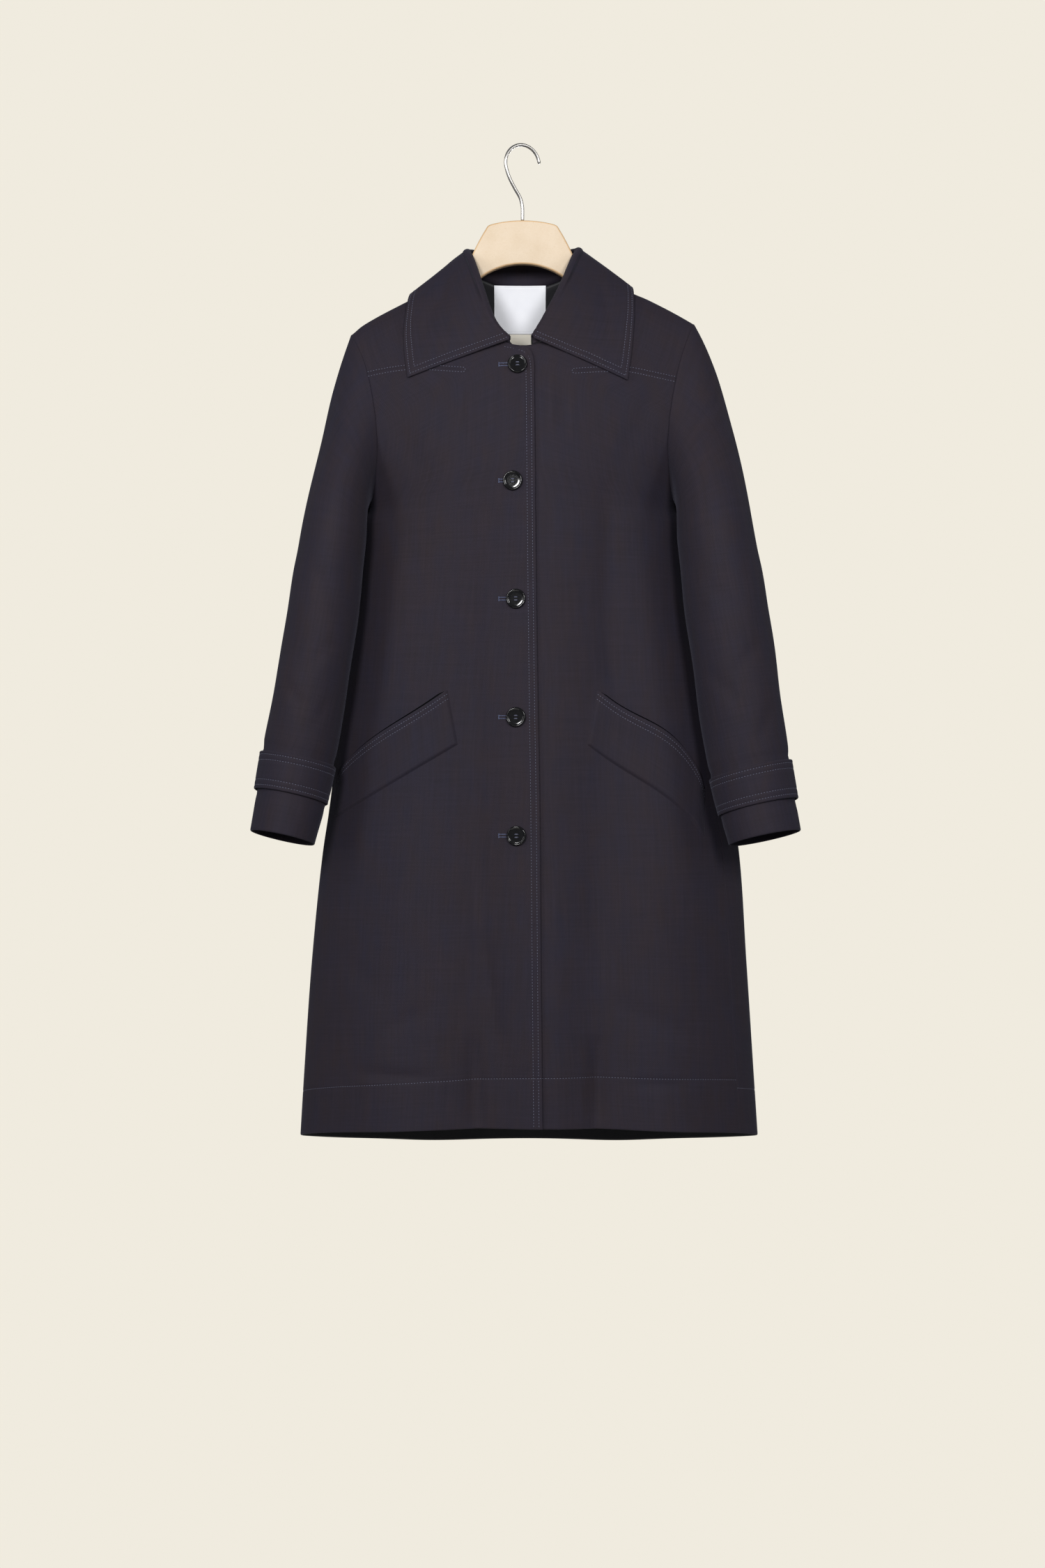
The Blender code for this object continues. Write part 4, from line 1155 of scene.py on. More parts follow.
@dataclass
class CoatBody:
    """The two fronts and the back, with their hem, lap and yoke sewing."""
    surface: BodySurface
    finishes: Finishes
    seam: float = 0.3
    side_depth: float = 90.0
    seal_reach: float = 30.0
    seal_lap: float = 0.12
    underlap: float = 24.0
    lap_corner: float = 6.0
    neck_start: int = 7
    princess_hem_out: float = 95.0
    path_steps: int = 240
    row_step: float = 5.0
    rim_turn: float = 0.8
    edge_radius: float = 1.7
    lap_rows: Pair = (4.0, 9.7)
    hem_depths: dict[Side, Pair] = field(
        default_factory=lambda: {Side.RIGHT: (59.0, 50.0), Side.LEFT: (58.0, 61.0)})
    back_hem: float = 54.0
    press_depth: float = 0.4
    rim_share: float = 0.6
    front_width: float = 330.0
    back_half: float = 240.0
    back_middle: float = 160.0
    middle_edge: float = 100.0
    lower_rows: tuple[Pair, ...] = (
        (1163, 1163), (1095, 1095), (1025, 1025), (955, 955), (885, 885), (815, 815),
        (745, 745), (680, 680), (615, 615), (555, 555), (503, 497), (463, 449))
    upper_rows: tuple[tuple[float | None, float, float, float, float], ...] = (
        (None, 405, 410, 412, 428), (None, 374, 388, 391, 418), (None, 343, 366, 370, 405),
        (None, 313, 344, 349, 388), (None, 284, 321, 328, 370), (None, 262, 298, 307, 351),
        (None, 246, 274, 286, 331), (12, 241.5, 250, 265, 311), (35, 231.5, 226, 244, 291),
        (53, 213, 202, 223, 271), (64.5, 187, 180, 204, 250), (69.5, 163, 162, 187, 231),
        (71.4, 149.5, 149.5, 174, 219.5), (71.9, 142.5, 142.5, 166, 214.3), (72, 140, 140, 162, 212.3),
    )
    hem_rows: tuple[float, ...] = (
        0, 0.6, 1.4, 2.6, 5, 9, 14, 19, 24, 29, 34, 39, 43, 46, *range(48, 63), 65)
    front_columns: Spacing = Spacing(
        (0, 0.6, 1.3, 2.2, 3.2, 4.0, 4.8, 6.2, 7.6, 8.9, 9.7, 10.5, 12, 15), 56, (5, 2.6, 1.3, 0.6, 0))
    half_columns: Spacing = Spacing((0, 5), 40, (5, 2.6, 1.3, 0.6, 0))
    neck_columns: Spacing = Spacing((0, 4), 34, (4, 0))

    def spread(self, path: Path, point: Layer, spacing: Spacing, trim: float = 0.0) -> Array:
        """Places along a path at the spacing's distances.

        Args:
            path: The path, as angles and heights by share.
            point: The function that lays points.
            spacing: The columns.
            trim: How far short of the path's end the last column stops.

        Returns:
            The places.
        """
        shares = np.linspace(0.0, 1.0, self.path_steps + 1)
        runs = run_lengths(point(*path(shares)))
        at = spacing.places(runs[-1] - trim)
        return np.stack(path(np.interp(at, runs, shares)), axis=-1)

    def front_edge_out(self, side: Side, height: Array, corner: bool = False) -> Array:
        """How far out a front's edge lies, which is past the middle plane.

        Args:
            side: The front's side.
            height: Heights.
            corner: Whether this is the lap's top corner.

        Returns:
            The distances out.
        """
        edge = np.full(np.shape(height), self.underlap)
        if side is Side.RIGHT:
            edge = self.surface.lap_edge(height)
        return -(edge - (self.lap_corner if corner else 0.0))

    def upper_path(self, index: int, side: Side, start_out: float, start_height: float,
                   at_back: bool) -> Path:
        """A path from the neck or the front edge to the armhole, which follows the shoulder higher up.

        Args:
            index: The upper row's number.
            side: The side.
            start_out: Where the path starts, out from the middle plane.
            start_height: The height there.
            at_back: Whether it lies on the back.

        Returns:
            The path.
        """
        body, level = self.surface, index / (len(self.upper_rows) - 1)
        end_height = self.upper_rows[index][-1]
        end_out = float(body.armhole("back" if at_back else "front", end_height))
        start_drop = start_height - SHOULDERS.ridge(start_out)
        end_drop = end_height - SHOULDERS.ridge(end_out)

        def path(share: Array) -> tuple[Array, Array]:
            """Angles and heights along the row.

            Args:
                share: Shares of its length.

            Returns:
                The angles and the heights.
            """
            out = start_out + (end_out - start_out) * share
            flat = start_height + (end_height - start_height) * share
            sloped = SHOULDERS.ridge(out) + start_drop + (end_drop - start_drop) * share
            height = flat + (sloped - flat) * level
            return body.angle_at(side, out, height, at_back), height

        return path

    def front_places(self, side: Side) -> Array:
        """Place a front's points in the rows of its solid, from the hem to the shoulder.

        Args:
            side: The front's side.

        Returns:
            Their angles and heights.
        """
        body, point, rows = self.surface, self.surface.front_point(side), []
        for side_height, front_height in self.lower_rows:
            def path(share: Array, low: float = side_height,
                     start: float = front_height) -> tuple[Array, Array]:
                """Angles and heights along the row.

                Args:
                    share: Shares of its length.
                    low: The height at the side.
                    start: The height at the front edge.

                Returns:
                    The angles and the heights.
                """
                height = start + (low - start) * share
                first = body.angle_at(side, self.front_edge_out(side, height), height)
                angle = first + (body.seam_angle(side, low) - first) * share
                return angle, body.hem_height(angle, height)
            rows.append(self.spread(path, point, self.front_columns, self.seam / 2))
        for index, (out, height, *_) in enumerate(self.upper_rows):
            if out is None:
                out = float(self.front_edge_out(side, height, index == self.neck_start - 1))
            path = self.upper_path(index, side, out, height, False)
            rows.append(self.spread(path, point, self.front_columns, 0.0 if index else self.seam / 2))
        return np.stack(rows)

    def princess_out(self, height: float) -> float:
        """Where the back's neck columns end, from the neck point to the hem.

        Args:
            height: A height.

        Returns:
            The distance out.
        """
        body = self.surface
        share = (height - SHOULDERS.neck_height) / (body.hem - SHOULDERS.neck_height)
        return SHOULDERS.neck_out + (self.princess_hem_out - SHOULDERS.neck_out) * share

    def centre_path(self, neck_height: float, centre_height: float, tilted: bool) -> Path:
        """A path across the middle of the back, lower at the centre.

        Args:
            neck_height: The height at its ends.
            centre_height: The height at the centre.
            tilted: Whether the hem's tilt is added.

        Returns:
            The path.
        """
        body, out = self.surface, self.princess_out(neck_height)

        def path(share: Array) -> tuple[Array, Array]:
            """Angles and heights along the row.

            Args:
                share: Shares of its length.

            Returns:
                The angles and the heights.
            """
            x = out * (2.0 * share - 1.0)
            height = centre_height + (neck_height - centre_height) * (x / out) ** 2
            angle = body.back_angle(x, height)
            return angle, body.hem_height(angle, height) if tilted else height

        return path

    def back_row(self, paths: dict[Side, Path], centre: Path, trim: float) -> Array:
        """One row of the back, from the right side to the left.

        Args:
            paths: The sides' paths.
            centre: The middle's path.
            trim: How much the side ends are cut back.

        Returns:
            The row's angles and heights.
        """
        point = self.surface.point
        halves = {side: self.spread(path, point, self.half_columns, trim) for side, path in paths.items()}
        middle = self.spread(centre, point, self.neck_columns)
        row = np.concatenate((halves[Side.RIGHT][::-1], middle[1:-1], halves[Side.LEFT]))
        row[:, 0] = np.mod(row[:, 0], math.tau)
        return row

    def back_places(self) -> Array:
        """Place the back's points in the rows of its solid, from the hem to the shoulder.

        Returns:
            Their angles and heights.
        """
        body, rows = self.surface, []
        for low, _ in self.lower_rows:
            paths = {}
            for side in Side:
                def path(share: Array, side: Side = side, low: float = low) -> tuple[Array, Array]:
                    """Angles and heights along the row.

                    Args:
                        share: Shares of its length.
                        side: The side.
                        low: The height.

                    Returns:
                        The angles and the heights.
                    """
                    first = body.angle_at(side, self.princess_out(low), low, True)
                    angle = first + (body.seam_angle(side, low) - first) * share
                    return angle, body.hem_height(angle, np.full(np.shape(share), low))
                paths[side] = path
            rows.append(self.back_row(paths, self.centre_path(low, low, True), self.seam / 2))
        for index, (_, _, back, centre, _) in enumerate(self.upper_rows):
            paths = {side: self.upper_path(index, side, self.princess_out(back), back, True) for side in Side}
            trim = 0.0 if index else self.seam / 2
            rows.append(self.back_row(paths, self.centre_path(back, centre, False), trim))
        return np.stack(rows)

    def refined(self, places: Array, point: Layer) -> tuple[Array, Array, int]:
        """Finer rows of places.

        Args:
            places: The solid's rows of places.
            point: The function that lays points.

        Returns:
            The finer rows, their distances from the hem, and the underarm's row.
        """
        points = point(places[..., 0], places[..., 1])
        steps = np.linalg.norm(np.diff(points, axis=0), axis=2).mean(axis=1)
        runs = np.concatenate(([0.0], np.cumsum(steps)))
        at = [np.asarray(self.hem_rows)]
        for first, last in zip(runs[1:], runs[2:]):
            at.append(np.linspace(first, last, max(round((last - first) / self.row_step), 1), endpoint=False))
        rise = np.concatenate((*at, runs[-1:]))
        underarm = int(np.searchsorted(rise, runs[len(self.lower_rows)] - 1e-6))
        return resample(places, runs, rise), rise, underarm

    def seal(self, places: Array, point: Layer, side: Side, column: int) -> None:
        """Bring a panel's side edge to the side seam.

        Args:
            places: The rows of places up to the underarm, which are moved.
            point: The function that lays points.
            side: The side.
            column: The edge's column.
        """
        edge, middle = places[:, column].copy(), places.shape[1] // 2
        laid = point(places[..., 0], places[..., 1])
        apart = np.linalg.norm(laid - laid[:, column][:, None], axis=-1)
        past = np.sign(places[:, middle, 0] - edge[:, 0]) * self.seal_lap / self.side_depth
        moved = self.surface.seam_angle(side, edge[:, 1]) - past - edge[:, 0]
        moved = np.mod(moved + math.pi, math.tau) - math.pi
        places[..., 0] += moved[:, None] * ease(1.0 - apart / self.seal_reach)

    def panel(self, places: Array, point: Layer, spacing: Array, hem: Array,
              edges: dict[Side, int]) -> Panel:
        """A panel's shell with its hem pressed, before its armhole's rim.

        Args:
            places: The solid's rows of places.
            point: The function that lays points.
            spacing: Each column's distance from the nearest side edge.
            hem: The depth of the hem's stitches at each column.
            edges: The columns that lie on the side seams.

        Returns:
            The panel.
        """
        fine, rise, underarm = self.refined(places, point)
        for side, column in edges.items():
            self.seal(fine[:underarm + 1], point, side, column)
        shell = Shell(point(fine[..., 0], fine[..., 1]), point(fine[..., 0], fine[..., 1], self.surface.wall))
        share = np.minimum(rounded(rise, self.edge_radius)[:, None],
                           rounded(rise[-1] - rise, self.edge_radius)[:, None])
        shell.round_edges(np.minimum(share, rounded(spacing, self.edge_radius)[None, :]))
        shell.press(pressed(rise[:, None] - hem[None, :], (0.0,), self.press_depth))
        return Panel(fine, shell, rise, underarm, hem)

    def armhole_loops(self, side: Side, front: Panel, back: Panel) -> tuple[Array, Array]:
        """Points round an armhole, and the wall's direction at each.

        Args:
            side: The side.
            front: The side's front.
            back: The back.

        Returns:
            Points from the tip down the front and up the back, and the directions.
        """
        body, column = self.surface, 0 if side is Side.RIGHT else -1
        loops = []
        for inset in (0.0, body.wall):
            before = front.armhole(body.front_point(side), -1, inset)[::-1]
            behind = back.armhole(body.point, column, inset)[1:-1]
            loops.append(np.concatenate((before, behind)))
        inwards = unit(loops[1] - loops[0])
        middle = unit(loops[0].mean(axis=0) - loops[0])
        return loops[0], unit(inwards + (middle - inwards) * self.rim_turn)

    def build(self) -> dict[Side, tuple[Array, Array]]:
        """Build the three panels and sew them.

        Returns:
            The armholes' loops.
        """
        body, width, half = self.surface, self.front_width, self.back_half
        places = self.front_columns.places(width)
        edge = np.minimum(places, width - places)
        fronts = {}
        for side in Side:
            hem = np.interp(places, (0.0, width), self.hem_depths[side])
            fronts[side] = self.panel(self.front_places(side), body.front_point(side), edge, hem, {side: -1})
        columns = self.half_columns.places(half)
        centre = np.full(len(self.neck_columns.places(self.back_middle)) - 2, self.middle_edge)
        edge = np.concatenate(((half - columns)[::-1], centre, half - columns))
        hem = np.full(edge.shape, self.back_hem)
        back = self.panel(self.back_places(), body.point, edge, hem, {Side.RIGHT: 0, Side.LEFT: -1})
        loops = {side: self.armhole_loops(side, fronts[side], back) for side in Side}
        for side, (loop, walls) in loops.items():
            front, rim = fronts[side], loop + walls * body.wall * self.rim_share
            count = len(front.places) - front.underarm
            front.shell.inner[front.underarm:, -1] = rim[:count][::-1]
            column = 0 if side is Side.RIGHT else -1
            back.shell.inner[back.underarm:, column] = np.concatenate((rim[count - 1:], rim[:1]))
            self.close_shoulder(front.shell, slice(None), self.seal_lap)
        self.close_shoulder(back.shell, slice(len(columns)), -self.seal_lap)
        self.close_shoulder(back.shell, slice(-len(columns), None), -self.seal_lap)
        right, lap = fronts[Side.RIGHT], pressed(places, self.lap_rows, self.press_depth)
        below_neck = ease((right.rise[-1] - right.rise - 60.0) / 30.0)
        right.shell.press(below_neck[:, None] * lap[None, :])
        self.dress(fronts, back)
        return loops

    def close_shoulder(self, shell: Shell, columns: slice, past: float) -> None:
        """Bring a panel's top edge to the shoulder seam, a little past its middle."""
        for face in (shell.outer, shell.inner):
            face[-1, columns, 1] = past

    def dress(self, fronts: dict[Side, Panel], back: Panel) -> None:
        """Args:
            fronts: The fronts.
            back: The back.
        """
        cloth = (self.finishes.gabardine, self.finishes.lining)
        for side, front in fronts.items():
            name = f"front_{side.label}"
            sewing = Sewing(f"{name}_stitches")
            self.sew_hem(sewing, front)
            if side is Side.RIGHT:
                self.sew_lap(sewing)
            slash = YokeSlash(self.surface, side)
            yoke = slash.shell().build(f"{name}_yoke_seam", self.finishes.gabardine, self.finishes.gabardine)
            slash.sew(sewing)
            pieces = [sewing.finish(self.finishes.thread), yoke]
            lay_cloth(front.shell, name, cloth, pieces)
        sewing = Sewing("back_stitches")
        self.sew_hem(sewing, back)
        lay_cloth(back.shell, "back", cloth, [sewing.finish(self.finishes.thread)])

    def sew_hem(self, sewing: Sewing, panel: Panel) -> None:
        """Sew the hem's row across a panel.

        Args:
            sewing: What the row is added to.
            panel: The panel.
        """
        columns = np.linspace(0.0, panel.places.shape[1] - 1.0, 400)[3:-3]
        depths = np.interp(columns, np.arange(len(panel.hem)), panel.hem)
        sewing.row(*panel.shell.sample(np.interp(depths, panel.rise, np.arange(len(panel.rise))), columns))

    def sew_lap(self, sewing: Sewing) -> None:
        """Sew the two rows along the lap's edge, round its top corner.

        Args:
            sewing: What the rows are added to.
        """
        body = self.surface
        heights = np.linspace(1142.0, 274.0, 500)
        tops = {4.0: ((9.4, 266), (7.4, 257.5), (2.2, 251.4), (-8, 247.6), (-22, 244.4)),
                9.7: ((3.7, 268), (2.0, 261.6), (-2.6, 256.8), (-10, 253.6), (-24, 250.2))}
        for row, top in tops.items():
            corner = np.asarray(top, float)
            corner = resample(corner, run_lengths(corner), np.linspace(0.0, run_lengths(corner)[-1], 60))
            x = np.concatenate((body.lap_edge(heights) - row, corner[:, 0]))
            height = np.concatenate((heights, corner[:, 1]))
            points = body.lay(Side.RIGHT, x, height, -self.press_depth * 0.8)
            sewing.row(points, body.outwards(Side.RIGHT, x, height))


@dataclass
class YokeSlash:
    """The slash seam under the collar, from the armhole towards the middle."""
    surface: BodySurface
    side: Side
    stitch_row: float = 2.9
    path_right: tuple[Pair, ...] = (
        (-181, 271.5), (-160, 268.5), (-138, 266.6), (-110, 267.5), (-69, 271.4))
    path_left: tuple[Pair, ...] = (
        (178, 279.0), (150, 273.8), (124, 269.6), (92, 270.5), (60, 273.0))
    section: tuple[Pair, ...] = (
        (-4.6, -0.25), (-3.8, 0.18), (-2.9, 0.02), (-1.9, 0.48), (-0.8, 0.55), (-0.15, -0.5),
        (0.3, 0.2), (1.0, 0.5), (2.0, 0.36), (2.9, 0.0), (3.7, 0.14), (4.5, -0.25))

    def path(self, count: int) -> Array:
        """Points along the seam as x and height.

        Args:
            count: How many.

        Returns:
            The points.
        """
        points = np.asarray(self.path_right if self.side is Side.RIGHT else self.path_left, float)
        runs = run_lengths(points)
        return resample(points, runs, np.linspace(0.0, runs[-1], count))

    def shell(self) -> Shell:
        """The low seam ridge on the front's cloth.

        Returns:
            Its two faces.
        """
        path = self.path(90)
        offset, lift = np.asarray(self.section).T
        inside = run_lengths(path)[-1] - run_lengths(path)
        fade = ease(inside / 4.0)[:, None]
        x = np.broadcast_to(path[:, :1], (len(path), len(offset)))
        height = path[:, 1:] + offset[None, :]
        raised = -0.25 + (lift[None, :] + 0.25) * fade
        lay = self.surface.lay
        return Shell(lay(self.side, x, height, raised), lay(self.side, x, height, raised - 0.9))

    def sew(self, sewing: Sewing) -> None:
        """Sew the row that runs along both sides of the seam and round its end.

        Args:
            sewing: What the row is added to.
        """
        path = self.path(160)
        along = unit(np.gradient(path, axis=0))
        across = np.stack((-along[:, 1], along[:, 0]), axis=-1)
        turns = np.linspace(0.0, math.pi, 24)[:, None]
        end = path[-1] + self.stitch_row * (across[-1] * np.cos(turns) + along[-1] * np.sin(turns))
        line = np.concatenate((path + across * self.stitch_row, end, (path - across * self.stitch_row)[::-1]))
        points = self.surface.lay(self.side, line[:, 0], line[:, 1], 0.12)
        sewing.row(points, self.surface.outwards(self.side, line[:, 0], line[:, 1]))


@dataclass
class Sleeve:
    """A sleeve with its cuff strap."""
    surface: BodySurface
    finishes: Finishes
    side: Side
    sizes: Curves
    strap_top: float
    push: Triple
    creases: tuple[Crease, ...]
    seam: float = 0.3
    tuck: float = 0.6
    top: float = 470.0
    cuff: float = 812.0
    cuff_tilt: float = math.radians(7)
    facing: int = 12
    swell: float = 6.0
    twist: float = 0.65
    ring_reach: float = 50.0
    strap_width: float = 43.0
    strap_wall: float = 2.2
    strap_lift: float = 0.9
    strap_rows: Pair = (4.0, 10.2)
    edge_radius: float = 1.7
    cap_shares: tuple[float, ...] = (0, 0.003, 0.007, 0.014, 0.028, 0.05)
    cap_rows: int = 40
    arm_rows: int = 66
    cuff_rows: tuple[float, ...] = (6, 3, 1.4, 0.6, 0)

    def ring(self, turn: Array, height: Array, inset: Array = 0.0) -> Array:
        """Points round the sleeve below the armhole.

        Args:
            turn: Turns round the ring, 0 at its outer edge and growing to the front.
            height: Heights.
            inset: Depths below the outer face.

        Returns:
            The points.
        """
        turn, height, inset = np.broadcast_arrays(np.asarray(turn, float), height, inset)
        size = {name: self.sizes(name, height) for name in self.sizes.names[1:]}
        half = (size["outer"] - size["inner"]) / 2
        tilt = self.cuff_tilt * ease((height - self.top) / (self.cuff - self.top))
        out = half * (1 - inset / half) * np.cos(turn)
        forward = (size["half_depth"] - inset) * np.sin(turn)
        x = self.side.value * ((size["outer"] + size["inner"]) / 2 + out)
        y = -size["forward"] - np.cos(tilt) * forward
        z = -height + size["slant"] / 2 * (1 - inset / half) * np.cos(turn) + np.sin(tilt) * forward
        return np.stack((x, y, z), axis=-1)

    def relief(self, turn: Array, height: Array) -> Array:
        """How far the sleeve's creases press the cloth inwards.

        Args:
            turn: Turns round the sleeve.
            height: Heights.

        Returns:
            The depths.
        """
        across = (np.mod(turn - math.pi / 2 + math.pi, math.tau) - math.pi) * self.ring_reach
        depth = sum(crease.relief(across, height) for crease in self.creases)
        uneven = 0.75 + 0.25 * np.cos(2 * turn + 0.6)
        drawn = 1.5 * np.exp(-((height - self.strap_top + 5.0) / 5.5) ** 2) * uneven
        below = 0.7 * np.exp(-((height - self.strap_top - self.strap_width - 4.0) / 5.0) ** 2)
        slow = 0.6 * np.sin(height / 31.0 + 2 * turn) + 0.4 * np.sin(height / 17.0 - 3 * turn + 0.8)
        return (depth + drawn + below + slow) * ease((height - self.top) / 40.0)

    def turns(self, loop: Array) -> Array:
        """The turn of each point of the armhole, by its distance round each half.

        Args:
            loop: Points round the armhole, from the tip down the front and up the back.

        Returns:
            The turns, with the tip and the underarm moved to the back of the ring.
        """
        half = int(np.argmin(loop[:, 2]))
        runs = run_lengths(np.concatenate((loop, loop[:1])))
        first = runs[:half] / runs[half]
        second = 1.0 + (runs[half:-1] - runs[half]) / (runs[-1] - runs[half])
        turns = math.pi * np.concatenate((first, second))
        return turns - self.twist * np.cos(turns)

    def shell(self, loop: Array, walls: Array) -> tuple[Shell, Array]:
        """The sleeve from the armhole to the cuff.

        Args:
            loop: Points round the armhole.
            walls: The wall's directions there.

        Returns:
            The shell and the columns' turns.
        """
        body, turns = self.surface, self.turns(loop)
        middle = loop.mean(axis=0)
        along = np.roll(loop, -1, axis=0) - np.roll(loop, 1, axis=0)
        step = unit(np.cross(along, walls))
        step = step * np.sign(np.sum(step * (loop - middle), axis=1, keepdims=True)) * self.tuck
        shares = np.concatenate((self.cap_shares, np.linspace(self.cap_shares[-1], 1.0, self.cap_rows)[1:-1]))
        heights = np.concatenate((np.linspace(self.top, self.cuff - self.cuff_rows[0], self.arm_rows)[:-1],
                                  self.cuff - np.asarray(self.cuff_rows)))
        faces = []
        for inset in (0.0, body.wall):
            first = loop + walls * inset + step
            last, below = self.ring(turns, self.top, inset), self.ring(turns, self.top + 1.0, inset)
            chord = last - first
            push = sum(size * np.cos(wave * turns) for wave, size in enumerate(self.push))
            forward = -self.swell * np.sin(turns)
            swing = np.stack((self.side.value * push, forward, np.zeros_like(turns)), axis=-1)
            arriving = (below - last) * np.linalg.norm(chord, axis=1, keepdims=True)
            cap = hermite(shares[:, None, None], first, chord + swing, last, arriving)
            relief = self.relief(turns[None, :], heights[:, None])
            arm = self.ring(turns[None, :], heights[:, None], inset + relief)
            face = np.concatenate((cap, arm))
            faces.append(np.concatenate((face, face[:, :1]), axis=1))
        result = Shell(*faces, ring=True, facing=self.facing)
        runs = np.stack([run_lengths(column) for column in result.outer.swapaxes(0, 1)], axis=1)
        result.round_edges(rounded(np.minimum(runs, runs[-1] - runs), self.edge_radius))
        return result, np.concatenate((turns, turns[:1] + math.tau))

    def strap(self, turns: Array) -> tuple[Shell, Array]:
        """The cuff's strap, which stands off the sleeve at its outer edge.

        Args:
            turns: The columns' turns.

        Returns:
            The shell, and its rows' distances from the top.
        """
        edge = np.asarray((0, 0.6, 1.3, 2.4, 3.3, 4.0, 4.7, 6.5, 8.6, 9.6, 10.2, 10.8, 12.5))
        even = np.linspace(15, self.strap_width - 15, 6)
        rows = np.concatenate((edge, even, self.strap_width - edge[::-1]))
        nearest = np.minimum(rows, self.strap_width - rows)
        lift = self.seam + self.strap_lift * np.maximum(np.cos(turns), 0.0) ** 2
        wave = 0.35 * np.sin(3 * turns + 0.4) ** 2
        lift = lift[None, :] + wave[None, :] * ease((12.0 - rows) / 12.0)[:, None]
        heights = (self.strap_top + rows)[:, None]
        result = Shell(self.ring(turns[None, :], heights, -lift - self.strap_wall),
                       self.ring(turns[None, :], heights, -lift), ring=True)
        result.round_edges(np.broadcast_to(rounded(nearest, 1.6)[:, None], lift.shape))
        depth = pressed(nearest, self.strap_rows, 0.4)
        result.press(np.broadcast_to(depth[:, None], lift.shape))
        return result, rows

    def build(self, loop: Array, walls: Array) -> None:
        """Build the sleeve and its strap and sew the strap.

        Args:
            loop: Points round the armhole.
            walls: The wall's directions there.
        """
        name = self.side.label
        shell, turns = self.shell(loop, walls)
        cloth = (self.finishes.gabardine, self.finishes.lining)
        lay_cloth(shell, f"sleeve_{name}", cloth, [])
        band, rows = self.strap(turns)
        sewing = Sewing(f"strap_{name}_stitches")
        columns = np.linspace(0.0, len(turns) - 1.0, 400)
        for row in self.strap_rows:
            for place in (row, self.strap_width - row):
                at = float(np.interp(place, rows, np.arange(len(rows))))
                sewing.row(*band.sample(np.full(columns.shape, at), columns))
        cloth = (self.finishes.gabardine, self.finishes.gabardine)
        pieces = [sewing.finish(self.finishes.thread)]
        lay_cloth(band, f"strap_{name}", cloth, pieces)


